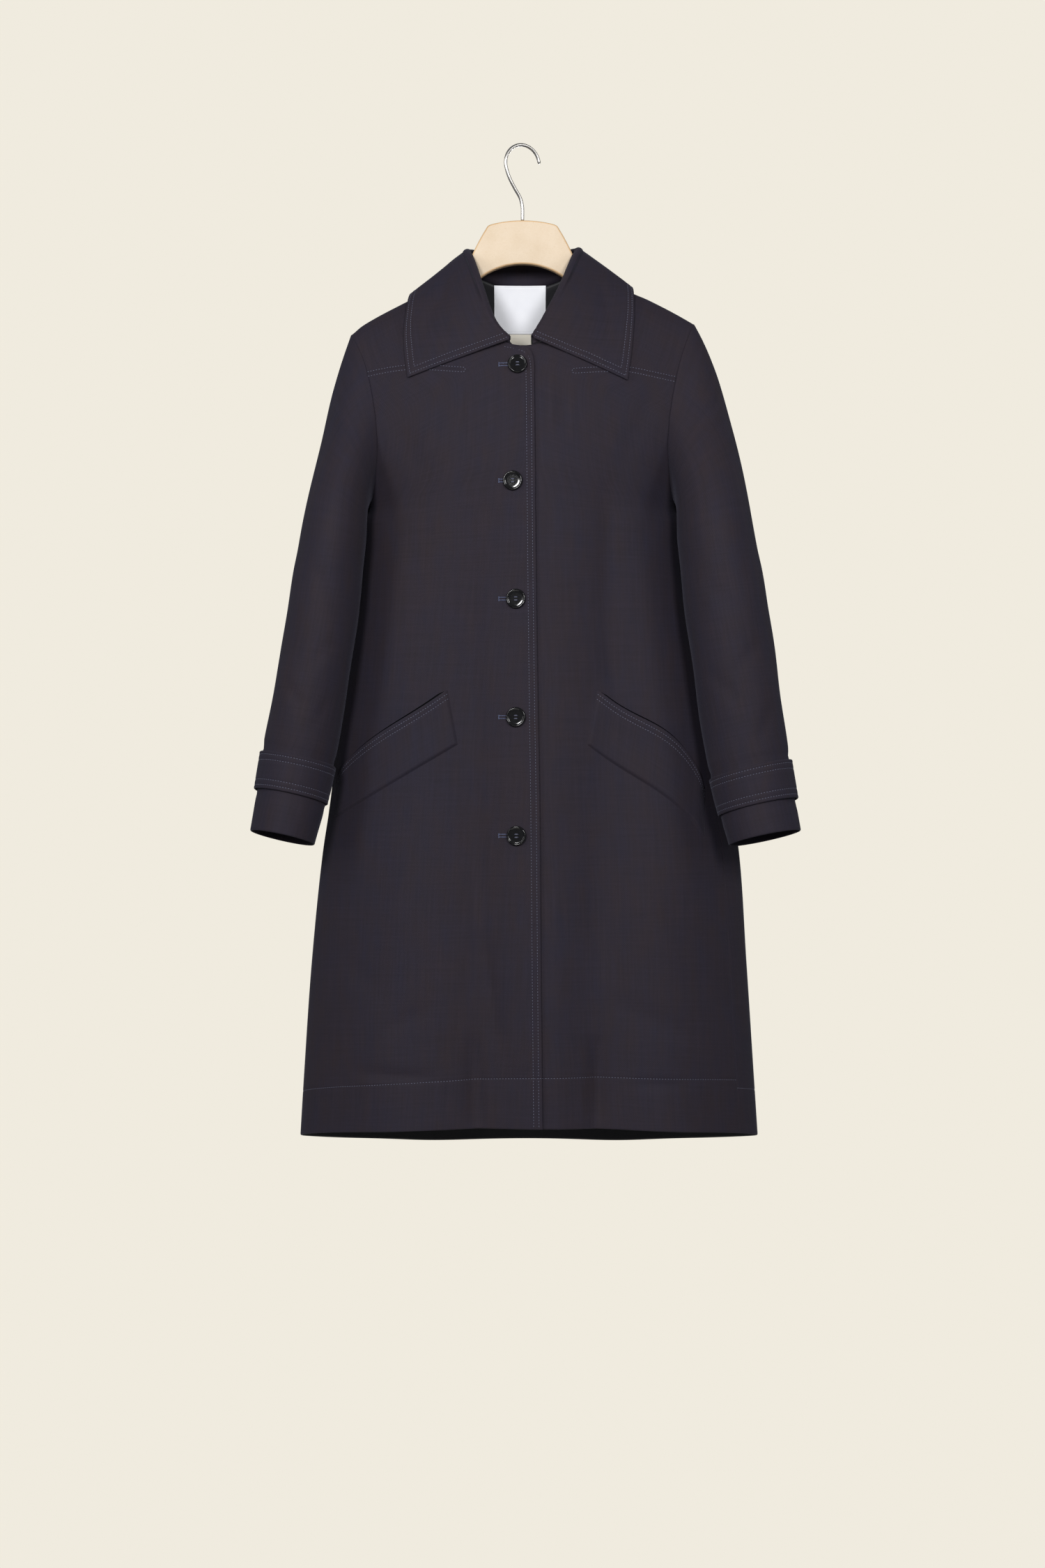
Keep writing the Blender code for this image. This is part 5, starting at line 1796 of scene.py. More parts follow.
@dataclass
class Collar:
    """The collar: up the stand, over the roll and down the fall.

    A turn of 0 is its front end and 2 the back.
    """
    body: CoatBody
    wall: float = 2.4
    roll_radius: float = 3.0
    bulge: float = 3.0
    clear: float = 0.9
    ridge_clear: float = 3.5
    ridge_clear_fade: float = 20.0
    stitch_rows: Pair = (3.7, 10.0)
    edge_radius: float = 2.0
    stand_rows: int = 5
    roll_rows: int = 12
    fall_rows: int = 22
    back_columns: int = 62
    edge_steps: tuple[float, ...] = (0, 0.6, 1.3, 2.2, 3.1, 3.7, 4.4, 5.8, 7.6, 9.2, 10.0, 10.8, 12.8, 16)
    roll_right: Curves = field(default_factory=lambda: Curves(
        "turn out forward height",
        (0, 15, 62, 234.5), (0.15, 27.5, 60, 222), (0.3, 37, 56, 206), (0.6, 50.5, 39, 167),
        (0.85, 60.5, 16, 135), (1, 65, 2, 124), (1.3, 62, -18, 120), (1.65, 38, -37, 119.5),
        (2, 0, -43, 120),
    ))
    roll_left: Curves = field(default_factory=lambda: Curves(
        "turn out forward height",
        (0, 12, 62, 232.5), (0.3, 28, 57, 206), (0.6, 48, 40, 166), (0.85, 61, 16, 133),
        (1, 66, 2, 122), (1.3, 62, -18, 119), (1.65, 38, -37, 119.5), (2, 0, -43, 120),
    ))
    edge_right: Curves = field(default_factory=lambda: Curves(
        "turn out forward height",
        (0, 133, 48, 279.5), (0.3, 136.5, 40, 251), (0.6, 138, 27, 222), (0.85, 136, 12, 196),
        (1, 132, 0, 169), (1.3, 113, -24, 181), (1.65, 60, -44, 198), (2, 0, -48, 203),
    ))
    edge_left: Curves = field(default_factory=lambda: Curves(
        "turn out forward height",
        (0, 121.5, 48, 283), (0.3, 126, 40, 252), (0.6, 129, 27, 220), (0.85, 130, 12, 192),
        (1, 129, 0, 167.5), (1.3, 112, -24, 180), (1.65, 60, -44, 197), (2, 0, -48, 203),
    ))

    def neck_seam(self, inset: float) -> Array:
        """Points round the neckline from the right front end by the back to the left one.

        Args:
            inset: Their depth below the body's outer face.

        Returns:
            The points.
        """
        coat, surface = self.body, self.body.surface
        rows = np.asarray([row[:2] for row in coat.upper_rows[coat.neck_start:]], float)
        fronts = {}
        for side in Side:
            angle = surface.angle_at(side, rows[:, 0], rows[:, 1])
            fronts[side] = surface.point(angle, rows[:, 1], inset)
        _, _, back, centre, _ = coat.upper_rows[-1]
        places = coat.spread(coat.centre_path(back, centre, False), surface.point, Spacing((0,), 10, (0,)))
        behind = surface.point(places[:, 0], places[:, 1], inset)
        return np.concatenate((fronts[Side.RIGHT], behind[1:-1], fronts[Side.LEFT][::-1]))

    def rounds(self, seam: Array) -> Array:
        """Each neckline point's turn, counted on from 2 at the centre back to 4 at the left front end.

        Args:
            seam: The neckline's points.

        Returns:
            Their turns.
        """
        front, middle = len(self.body.upper_rows) - 1 - self.body.neck_start, len(seam) // 2
        runs = run_lengths(seam)
        half = np.where(np.arange(middle + 1) <= front, runs[:middle + 1] / runs[front],
                        1 + (runs[:middle + 1] - runs[front]) / (runs[middle] - runs[front]))
        return np.concatenate((half, 4.0 - half[-2::-1]))

    def guide(self, right: Curves, left: Curves, rounds: Array) -> Array:
        """Points of one of the collar's guide curves.

        Args:
            right: The right leaf's curve.
            left: The left leaf's curve.
            rounds: Turns round the neckline.

        Returns:
            The points.
        """
        turn, at_right = np.minimum(rounds, 4.0 - rounds), rounds < 2.0
        out, forward, height = (
            np.where(at_right, right(name, turn), left(name, turn)) for name in right.names[1:])
        return np.stack((np.where(at_right, -out, out), -forward, -height), axis=-1)

    def cleared(self, points: Array) -> Array:
        """Points moved out, where needed, so that they lie clear of the body.

        Args:
            points: The collar's points.

        Returns:
            The points, clear of the body.
        """
        surface = self.body.surface
        x, y, height = points[..., 0], points[..., 1], -points[..., 2]
        drop = height - SHOULDERS.ridge(x)
        gap = self.clear + self.ridge_clear * np.exp(-np.maximum(drop, 0.0) / self.ridge_clear_fade)
        half = np.where(x > 0, surface.sizes("left", height), surface.sizes("right", height))
        angle = np.arcsin(np.clip(x / half, -1.0, 1.0))
        front = surface.point(angle, height)[..., 1] - gap
        back = surface.point(math.pi - angle, height)[..., 1] + gap
        moved = np.where(y > 0, np.maximum(y, back), np.minimum(y, front))
        return np.stack((x, np.where(drop > 0, moved, y), points[..., 2]), axis=-1)

    def shell(self) -> Shell:
        """The collar's two faces, with the upper one outside.

        Returns:
            The shell.
        """
        seam, inner_seam = self.neck_seam(0.0), self.neck_seam(self.body.surface.wall)
        places = self.rounds(seam)
        ends = np.asarray(self.edge_steps) / 100.0
        half = np.concatenate((ends, np.linspace(ends[-1], 2.0, self.back_columns)[1:]))
        rounds = np.concatenate((half, 4.0 - half[-2::-1]))
        start = resample(seam, places, rounds)
        start[:, 2] += self.body.seam
        thick = resample(inner_seam - seam, places, rounds)
        roll = self.guide(self.roll_right, self.roll_left, rounds)
        edge = self.guide(self.edge_right, self.edge_left, rounds)
        along = np.gradient(roll, rounds, axis=0)
        outwards = unit(np.stack((along[:, 1], -along[:, 0], np.zeros(len(rounds))), axis=-1))
        outwards = outwards * np.where(np.sum(outwards[:, :2] * roll[:, :2], axis=1) < 0, -1.0, 1.0)[:, None]
        middle = roll - np.asarray((0.0, 0.0, self.roll_radius))
        stand_top, fall_top = middle - outwards * self.roll_radius, middle + outwards * self.roll_radius
        shares = np.linspace(0.0, 1.0, self.stand_rows, endpoint=False)[:, None, None]
        stand = start + (stand_top - start) * shares
        angles = np.linspace(math.pi, 0.0, self.roll_rows)[:, None, None]
        over = middle + self.roll_radius * (
            outwards * np.cos(angles) + np.asarray((0.0, 0.0, 1.0)) * np.sin(angles))
        length = np.linalg.norm(edge - fall_top, axis=1)
        close = 1.0 - np.asarray(self.edge_steps[::-1])[:, None] / length[None, :]
        even = np.linspace(0.0, 1.0, self.fall_rows, endpoint=False)[1:, None] * close[:1]
        share = np.concatenate((even, close))[..., None]
        fall = fall_top + (edge - fall_top) * share + outwards * self.bulge * 4 * share * (1 - share)
        under = np.concatenate((stand, over, self.cleared(fall)))
        normal = unit(np.cross(np.gradient(under, axis=1), np.gradient(under, axis=0)))
        upper = under + normal * self.wall
        upper[0] = under[0] + thick
        return Shell(upper, under)

    def edge_distances(self, shell: Shell) -> tuple[Array, Array]:
        """Each point's distance from the outer edge, and from the nearer front end.

        Args:
            shell: The collar's shell.

        Returns:
            Both distances.
        """
        down = np.stack([run_lengths(column[::-1])[::-1] for column in shell.outer.swapaxes(0, 1)], axis=1)
        along = np.stack([run_lengths(row) for row in shell.outer])
        return down, np.minimum(along, along[:, -1:] - along)

    def stitch_line(self, down: Array, along: Array, distance: float) -> tuple[Array, Array]:
        """Rows and columns of a stitch row, from one front end round the edge to the other.

        Args:
            down: The points' distances from the outer edge.
            along: Their distances from the nearer front end.
            distance: The stitch row's distance from both.

        Returns:
            The row numbers and the column numbers.
        """
        rows, columns = down.shape
        first = self.stand_rows + self.roll_rows - 2
        middle = columns // 2
        right, left = [], []
        for row in range(first, rows):
            column = float(np.interp(distance, along[row, :middle], np.arange(middle)))
            if np.interp(column, np.arange(columns), down[row]) >= distance:
                right.append((row, column))
                left.append((row, columns - 1 - column))
        edge = []
        for column in range(columns):
            row = float(np.interp(-distance, -down[first:, column], np.arange(first, rows)))
            if np.interp(row, np.arange(rows), along[:, column]) >= distance:
                edge.append((row, column))
        line = np.asarray(right + edge + left[::-1], float)
        return line[:, 0], line[:, 1]

    def build(self, finishes: Finishes) -> None:
        """Build the collar and sew its edge.

        Args:
            finishes: The materials.
        """
        shell = self.shell()
        down, along = self.edge_distances(shell)
        nearest = np.minimum(down, along)
        lines = [self.stitch_line(down, along, row) for row in self.stitch_rows]
        shell.round_edges(rounded(nearest, self.edge_radius))
        shell.press(pressed(nearest, self.stitch_rows, 0.42))
        sewing = Sewing("collar_stitches")
        for line in lines:
            sewing.row(*shell.sample(*line))
        lay_cloth(shell, "collar", (finishes.gabardine, finishes.gabardine),
                  [sewing.finish(finishes.thread)])


@dataclass
class Welt:
    """A slanted pocket welt on a front, open along its top edge."""
    surface: BodySurface
    side: Side
    outer_top: Pair
    outer_bottom: Pair
    gape: float
    gape_at: float
    arch_bottom: float = 0.0
    arch_top: float = 9.0
    inner_top: Pair = (85.5, 641.0)
    inner_bottom: Pair = (73.5, 705.0)
    # The painted shade strip: how far it reaches above the welt's top edge, and the lifts of its two faces.
    mouth: float = 2.8
    mouth_faces: Pair = (0.45, -0.6)
    wall: float = 2.2
    gap: float = 0.35
    end_gap: float = 1.1
    flush: float = 3.6
    runout: float = 16.0
    stitch_rows: Pair = (4.8, 10.4)
    inner_steps: tuple[float, ...] = (0, 0.6, 1.3, 2.2, 3.4, 5.5)
    bottom_steps: tuple[float, ...] = (0, 0.6, 1.3, 2.2, 3.4, 5.5, 10)
    top_steps: tuple[float, ...] = (18, 14, 12, 11.2, 10.4, 9.6, 8.2, 6.4, 5.6, 4.8, 4.0, 2.8, 1.5, 0.7, 0)

    def place(self, along: Array, across: Array) -> tuple[Array, Array]:
        """The x and the height at shares of the welt's length and width.

        Args:
            along: Shares of the length.
            across: Shares of the width.

        Returns:
            The x and the height.
        """
        corners = (self.inner_bottom, self.inner_top, self.outer_bottom, self.outer_top)
        ends = [[first + (second - first) * across for first, second in zip(*pair)]
                for pair in (corners[:2], corners[2:])]
        out, height = (inner + (outer - inner) * along for inner, outer in zip(*ends))
        arch = self.arch_bottom + (self.arch_top - self.arch_bottom) * across
        return self.side.value * out, height - arch * 4 * along ** 2 * (1 - along ** 2)

    def slit(self) -> Shell:
        """A near-black strip along the welt's top edge: painted shade for the shadow in the pocket's opening.

        Returns:
            Its two faces.
        """
        along = np.linspace(0.015, 0.985, 80)[None, :]
        above = self.mouth * ease(along / 0.1) * ease((1 - along) / 0.08)
        x, height = self.place(along, np.ones((3, 80)))
        height = height - above * np.asarray((-1.5, 0.4, 1.0))[:, None]
        return Shell(*(self.surface.lay(self.side, x, height, lift) for lift in self.mouth_faces))

    def shell(self) -> tuple[Shell, Array]:
        """The welt's two faces.

        Returns:
            The shell, and its rows' distances from the top edge.
        """
        length = math.dist(self.outer_top, self.inner_top)
        width = math.dist(self.inner_top, self.inner_bottom)
        columns = Spacing(self.inner_steps, 44, (0,)).places(length)
        even = np.linspace(14, width - 22, 5)
        rows = np.concatenate((self.bottom_steps, even, width - np.asarray(self.top_steps)))
        along, across = (columns / length)[None, :], (rows / width)[:, None]
        x, height = self.place(along, across)
        near = np.minimum(rows[:, None], columns[None, :])
        whole = self.gap + self.end_gap * along ** 2 + self.wall
        edges = ease(near / self.flush) * ease((length - columns) / self.runout)[None, :]
        lift = -0.25 + (whole + 0.25) * edges
        spread = np.exp(-((along - self.gape_at) / 0.38) ** 2) * ease(columns / 14.0)[None, :]
        lift = lift + self.gape * ease((across - 0.45) / 0.55) * spread
        shell = Shell(self.surface.lay(self.side, x, height, lift),
                      self.surface.lay(self.side, x, height, lift - self.wall))
        top = np.broadcast_to((width - rows)[:, None], lift.shape)
        shell.round_edges(rounded(top, 1.6))
        shell.press(pressed(top, self.stitch_rows, 0.42) * ease(near / 3.0))
        return shell, width - rows

    def build(self, finishes: Finishes) -> None:
        """Build the welt and sew its two rows.

        Args:
            finishes: The materials.
        """
        name = f"welt_{self.side.label}"
        shell, tops = self.shell()
        sewing = Sewing(f"{name}_stitches", pitch=3.3)
        columns = np.linspace(2.0, shell.outer.shape[1] - 1.4, 300)
        for row in self.stitch_rows:
            at = float(np.interp(-row, -tops, np.arange(len(tops))))
            sewing.row(*shell.sample(np.full(columns.shape, at), columns))
        # The strip's near-black material is painted shade for the pocket's opening, not the pocket's own
        # cloth.
        mouth = self.slit().build(f"{name}_mouth", finishes.pocket, finishes.pocket)
        lay_cloth(shell, name, (finishes.gabardine, finishes.gabardine),
                  [sewing.finish(finishes.thread), mouth])


@dataclass
class Buttons:
    """Five turned buttons with their thread, and the buttonholes' edging beside them."""
    surface: BodySurface
    finishes: Finishes
    xs: tuple[float, ...] = (-5.8, -11.2, -7.6, -7.6, -6.8)
    first: float = 266.0
    pitch: float = 135.8
    seat_gap: float = 0.3
    steps: int = 56
    holes: int = 4
    hole_radius: float = 0.95
    hole_circle: float = 2.475
    hole_from: float = -27.2
    hole_to: float = -2.0
    hole_half: float = 1.55
    profile: tuple[Pair, ...] = (
        (0, 2.3), (3.2, 2.3), (6.0, 2.3), (8.0, 2.31), (8.5, 2.4), (8.9, 2.7), (9.3, 3.15), (9.65, 3.42),
        (10.0, 3.52), (10.3, 3.45), (10.6, 3.2), (10.95, 2.8), (11.25, 2.2), (11.4, 1.6), (11.2, 0.9),
        (10.7, 0.45), (10.0, 0.15), (9.2, 0.0), (0, 0.0))

    def turned(self) -> bpy.types.Mesh:
        """One button, turned from its profile and drilled, about the origin.

        Returns:
            The button's mesh.
        """
        turned = bmesh.new()
        verts = [turned.verts.new((radius * METRES, 0.0, top * METRES)) for radius, top in self.profile]
        edges = [turned.edges.new(pair) for pair in zip(verts, verts[1:])]
        bmesh.ops.spin(turned, geom=verts + edges, axis=(0, 0, 1), cent=(0, 0, 0), angle=math.tau,
                       steps=self.steps, use_merge=True)
        bmesh.ops.remove_doubles(turned, verts=turned.verts[:], dist=0.01 * METRES)
        bmesh.ops.recalc_face_normals(turned, faces=turned.faces[:])
        drills = bmesh.new()
        for corner in range(self.holes):
            angle = math.tau * (corner + 0.5) / self.holes
            move = Vector((math.cos(angle), math.sin(angle), 0.0)) * self.hole_circle * METRES
            radius = self.hole_radius * METRES
            bmesh.ops.create_cone(drills, cap_ends=True, segments=18, radius1=radius, radius2=radius,
                                  depth=0.02, matrix=Matrix.Translation(move))
        items = []
        for name, part in (("turned", turned), ("drills", drills)):
            data = bpy.data.meshes.new(name)
            part.to_mesh(data)
            part.free()
            items.append(bpy.data.objects.new(name, data))
            bpy.context.scene.collection.objects.link(items[-1])
        cut = items[0].modifiers.new("holes", "BOOLEAN")
        cut.operation, cut.object = "DIFFERENCE", items[1]
        result = evaluated(items[0])
        for item in items:
            bpy.data.objects.remove(item)
        return result

    def build(self) -> None:
        """Place the buttons, tie them and edge the buttonholes."""
        turned, body = self.turned(), self.surface
        edging = Sewing("buttonhole_stitches", pitch=0.95, length=1.5, width=0.85, height=0.9)
        ties = Sewing("button_thread", width=0.75, height=0.7)
        for number, x in enumerate(self.xs):
            height = self.first + self.pitch * number
            seat = Vector(body.lay(Side.RIGHT, x, height))
            across = Vector(body.lay(Side.RIGHT, x + 5.0, height) - body.lay(Side.RIGHT, x - 5.0, height))
            up = Vector(body.lay(Side.RIGHT, x, height - 5.0) - body.lay(Side.RIGHT, x, height + 5.0))
            facing = across.cross(up).normalized()
            turn = facing.to_track_quat("Z", "Y").to_matrix().to_4x4()
            place = Matrix.Translation((seat + facing * self.seat_gap) * METRES) @ turn
            self.button(turned, number + 1, place)
            self.tie(ties, place)
            self.edge_hole(edging, height)
        edging.finish(self.finishes.hole_thread)
        ties.finish(self.finishes.thread, "button")
        bpy.data.meshes.remove(turned)

    def button(self, turned: bpy.types.Mesh, number: int, place: Matrix) -> None:
        """Place one button.

        Args:
            turned: The button's mesh about the origin.
            number: Its number from the top.
            place: Its place.
        """
        mesh = bmesh.new()
        mesh.from_mesh(turned)
        bmesh.ops.transform(mesh, matrix=place, verts=mesh.verts[:])
        for face in mesh.faces:
            face.smooth = True
        for edge in mesh.edges:
            edge.smooth = edge.calc_face_angle(0.0) < math.radians(48)
        item = placed(f"button_{number}_turned", mesh, self.finishes.button)
        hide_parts(f"button_{number}")

    def tie(self, ties: Sewing, place: Matrix) -> None:
        """Tie a button with two bars of thread through its holes.

        Args:
            ties: What the bars are added to.
            place: The button's place.
        """
        out = np.asarray(place.to_3x3() @ Vector((0.0, 0.0, 1.0)))
        along = np.asarray(place.to_3x3() @ Vector((1.0, 0.0, 0.0)))
        reach = self.hole_circle * math.sqrt(0.5)
        for side in (-reach, reach):
            for strand in (-0.3, 0.3):
                middle = np.asarray(place @ (Vector((0.0, side + strand, 2.4)) * METRES)) / METRES
                ties.stitch(middle, along, out, 2 * reach + 1.0)

    def edge_hole(self, edging: Sewing, height: float) -> None:
        """Edge one buttonhole with close stitches along both sides and a bar at its outer end.

        Args:
            edging: What the stitches are added to.
            height: The buttonhole's height.
        """
        body = self.surface
        xs = np.arange(self.hole_from + 0.6, self.hole_to, edging.pitch)
        for side in (-1.0, 1.0):
            heights = np.full(xs.shape, height + side * self.hole_half)
            points, outs = body.lay(Side.RIGHT, xs, heights, 0.15), body.outwards(Side.RIGHT, xs, heights)
            ends = body.lay(Side.RIGHT, xs, heights + 1.0, 0.15)
            edging.stitch(points, ends - points, outs, edging.length)
        bar = np.linspace(height - self.hole_half - 0.7, height + self.hole_half + 0.7, 6)
        xs = np.full(bar.shape, self.hole_from)
        points, outs = body.lay(Side.RIGHT, xs, bar, 0.2), body.outwards(Side.RIGHT, xs, bar)
        ends = body.lay(Side.RIGHT, xs + 1.0, bar, 0.2)
        edging.stitch(points, ends - points, outs, edging.length)


@dataclass
class NeckLabels:
    """The bare label and tab inside the back of the neck."""
    surface: BodySurface
    finishes: Finishes
    gap: float = 0.6
    wall: float = 1.0
    edge: tuple[float, ...] = (0, 0.4, 0.9, 1.5, 2.0, 2.6, 4)

    def shell(self, middle: float, width: float, top: float, bottom: float, border: float) -> Shell:
        """A small piece of ribbon inside the back.

        Args:
            middle: The x of its middle.
            width: Its width.
            top: The height of its top.
            bottom: The height of its bottom.
            border: The distance of its turned-in border from the edges.

        Returns:
            The shell, with the side towards the neck outside.
        """
        body = self.surface
        columns = Spacing(self.edge, 20, self.edge[::-1]).places(width)
        rows = Spacing(self.edge, 16, self.edge[::-1]).places(bottom - top)
        x, height = np.meshgrid(middle - width / 2 + columns, top + rows)
        angle, back = body.back_angle(x, height), body.wall + self.gap
        shell = Shell(body.point(angle, height, back + self.wall), body.point(angle, height, back))
        sides = np.minimum(columns, width - columns)[None, :]
        near = np.minimum(sides, np.minimum(rows, bottom - top - rows)[:, None])
        shell.round_edges(rounded(near, 0.9))
        shell.press(0.22 * np.exp(-((near - border) / 0.4) ** 2) + 0.12 * ease((near - border) / 1.5))
        return shell

    def build(self) -> None:
        """Build the label and the tab."""
        label = self.shell(-3.0, 62.0, 158.5, 213.5, 2.0)
        tacks = Sewing("label_stitches", width=0.5, height=0.5)
        ends = label.outer.shape
        for row in (2.0, ends[0] - 3.0):
            for column in (2.0, ends[1] - 3.0):
                columns = np.linspace(column - 1.2, column + 1.2, 8)
                tacks.row(*label.sample(np.full(8, row), columns), pitch=1.2, length=1.1)
        thread = tacks.finish(self.finishes.label_thread, "label")
        ribbon = (self.finishes.label, self.finishes.label)
        lay_cloth(label, "label", ribbon, [thread])
        tab = self.shell(-2.5, 26.0, 213.8, 226.0, 1.6)
        lay_cloth(tab, "size_tab", (self.finishes.tab, self.finishes.tab), [])


@dataclass
class Hanger:
    """The fibre-board hanger and its wire hook."""
    finishes: Finishes
    thickness: float = 12.0
    bevel: float = 2.6
    bevel_steps: int = 5
    outline_points: int = 260
    arm_gap: float = 3.0
    neck: tuple[Pair, ...] = (
        (0, 87.5), (10, 87.8), (20, 88.8), (30, 90.5), (36, 92.0), (39.4, 93.2), (41.6, 95.0), (43.2, 97.8),
        (46.4, 103.0), (51, 111.2), (59.5, 128.5), (63, 137.5), (67, 143.5), (73, 146.5))
    end: tuple[Pair, ...] = ((183, 5.5), (187, 12), (186, 20), (180, 25.5))
    arm: Pair = (82.0, 176.0)
    under: Pair = (170.0, 95.0)
    under_drop: Pair = (28.0, 38.5)
    bow_top: float = 139.0
    bow_radius: float = 83.0
    bow_out: float = 64.0
    wire: float = 3.9
    hook_inner: float = 20.5
    hook_turn: float = math.radians(28)
    hook_tip: float = math.radians(84)
    hook_heel: float = math.radians(-104)
    stem: tuple[Pair, ...] = (
        (-17.5, 38), (-10, 50.5), (-3, 61), (-0.2, 71), (0, 80), (0, 87.2))

    def outline(self) -> Array:
        """Half of the board's outline as out and height, from its top middle to its bottom middle.

        Returns:
            The points.
        """
        ridge = SHOULDERS.ridge
        arm = np.linspace(*self.arm, 20)
        end = np.asarray([(out, float(ridge(out)) + drop) for out, drop in self.end])
        under = np.linspace(*self.under, 14)
        drop = np.linspace(*self.under_drop, 14)
        bow = np.linspace(self.bow_out, 0.0, 24)
        rise = np.sqrt(self.bow_radius ** 2 - bow ** 2)
        parts = (np.asarray(self.neck), np.stack((arm, ridge(arm) + self.arm_gap), axis=-1), end,
                 np.stack((under, ridge(under) + drop), axis=-1),
                 np.stack((bow, self.bow_top + self.bow_radius - rise), axis=-1))
        return np.concatenate(parts)

    def rim(self) -> list[Pair]:
        """The edge's round section, as distances in from the outline and places through the thickness.

        Returns:
            The section's points.
        """
        turns = np.linspace(0.0, math.pi / 2, self.bevel_steps + 1)
        inset = self.bevel * (1.0 - np.sin(turns))
        depth = self.thickness / 2 - self.bevel * (1.0 - np.cos(turns))
        front = list(zip(inset, -depth))
        return front + [(far, -near) for far, near in front[::-1]]

    def board(self) -> None:
        """Cut the board from its outline, with round edges."""
        half = self.outline()
        runs = run_lengths(half)
        half = resample(half, runs, np.linspace(0.0, runs[-1], self.outline_points))
        outline = np.concatenate((half, half[-2:0:-1] * np.asarray((-1.0, 1.0))))
        along = unit(np.roll(outline, -1, axis=0) - np.roll(outline, 1, axis=0))
        inwards = np.stack((-along[:, 1], along[:, 0]), axis=-1)
        mesh = bmesh.new()
        place = mesh.verts.layers.int.new("place")
        verts = [mesh.verts.new() for _ in outline]
        for index, vert in enumerate(verts):
            vert[place] = index
        edges = [mesh.edges.new(pair) for pair in zip(verts, verts[1:] + verts[:1])]
        bmesh.ops.contextual_create(mesh, geom=edges)
        for step, (inset, depth) in enumerate(self.rim()):
            if step:
                copied = bmesh.ops.extrude_edge_only(mesh, edges=edges)["geom"]
                verts = [item for item in copied if isinstance(item, bmesh.types.BMVert)]
                edges = [item for item in copied if isinstance(item, bmesh.types.BMEdge)]
            for vert in verts:
                out, height = outline[vert[place]] + inwards[vert[place]] * inset
                vert.co = SHOULDERS.settled(np.asarray((out, depth, -height))) * METRES
        bmesh.ops.contextual_create(mesh, geom=edges)
        bmesh.ops.recalc_face_normals(mesh, faces=mesh.faces[:])
        for face in mesh.faces:
            face.smooth = True
            face.material_index = int(abs(face.normal.y) < 0.9)
        item = placed("hanger_board", mesh, self.finishes.board, self.finishes.board_edge)
        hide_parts("hanger_body")

    def hook(self) -> None:
        """Bend the hook's wire and round its tip."""
        radius = self.hook_inner + self.wire / 2
        angles = np.linspace(self.hook_tip, self.hook_heel, 72)
        bend = np.stack((radius * np.sin(angles), self.hook_inner - radius * np.cos(angles)), axis=-1)
        lead = np.concatenate((bend[-12:-11], bend[-6:-5], bend[-1:], np.asarray(self.stem)))
        runs = run_lengths(lead)
        stem = resample(lead, runs, np.linspace(runs[2], runs[-1], 46))[1:]
        path = np.concatenate((bend, stem))
        wire = bpy.data.curves.new("hook_wire", "CURVE")
        wire.dimensions, wire.bevel_resolution, wire.use_fill_caps = "3D", 5, True
        wire.bevel_depth = self.wire / 2 * METRES
        spline = wire.splines.new("POLY")
        spline.points.add(len(path) - 1)
        for index, (across, height) in enumerate(path):
            spline.points[index].co = (across * METRES, 0.0, -height * METRES, 1.0)
            spline.points[index].radius = (0.55, 0.86, 0.97)[index] if index < 3 else 1.0
        bent = bpy.data.objects.new("hook_wire", wire)
        bpy.context.scene.collection.objects.link(bent)
        data = evaluated(bent)
        bpy.data.objects.remove(bent)
        mesh = bmesh.new()
        mesh.from_mesh(data)
        bpy.data.meshes.remove(data)
        turn = Matrix.Rotation(self.hook_turn, 3, "Z")
        bmesh.ops.rotate(mesh, cent=(0, 0, 0), matrix=turn, verts=mesh.verts[:])
        bmesh.ops.remove_doubles(mesh, verts=mesh.verts[:], dist=1e-6)
        bmesh.ops.recalc_face_normals(mesh, faces=mesh.faces[:])
        for face in mesh.faces:
            face.smooth = True
        item = placed("hanger_hook_wire", mesh, self.finishes.wire)
        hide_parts("hanger_hook")

    def build(self) -> None:
        """Build the board and the hook."""
        self.board()
        self.hook()


@dataclass(frozen=True)
class Lamp:
    """A soft lamp with a rectangular face, in metres and watts."""
    name: str
    place: Triple
    target: Triple
    size: Pair
    energy: float

    def build(self) -> bpy.types.Object:
        """Make the lamp.

        Returns:
            The lamp.
        """
        light = bpy.data.lights.new(self.name, "AREA")
        light.shape, light.energy = "RECTANGLE", self.energy
        light.size, light.size_y = self.size
        lamp = bpy.data.objects.new(self.name, light)
        lamp.location = self.place
        lamp.rotation_euler = (Vector(self.target) - Vector(self.place)).to_track_quat("-Z", "Y").to_euler()
        return lamp


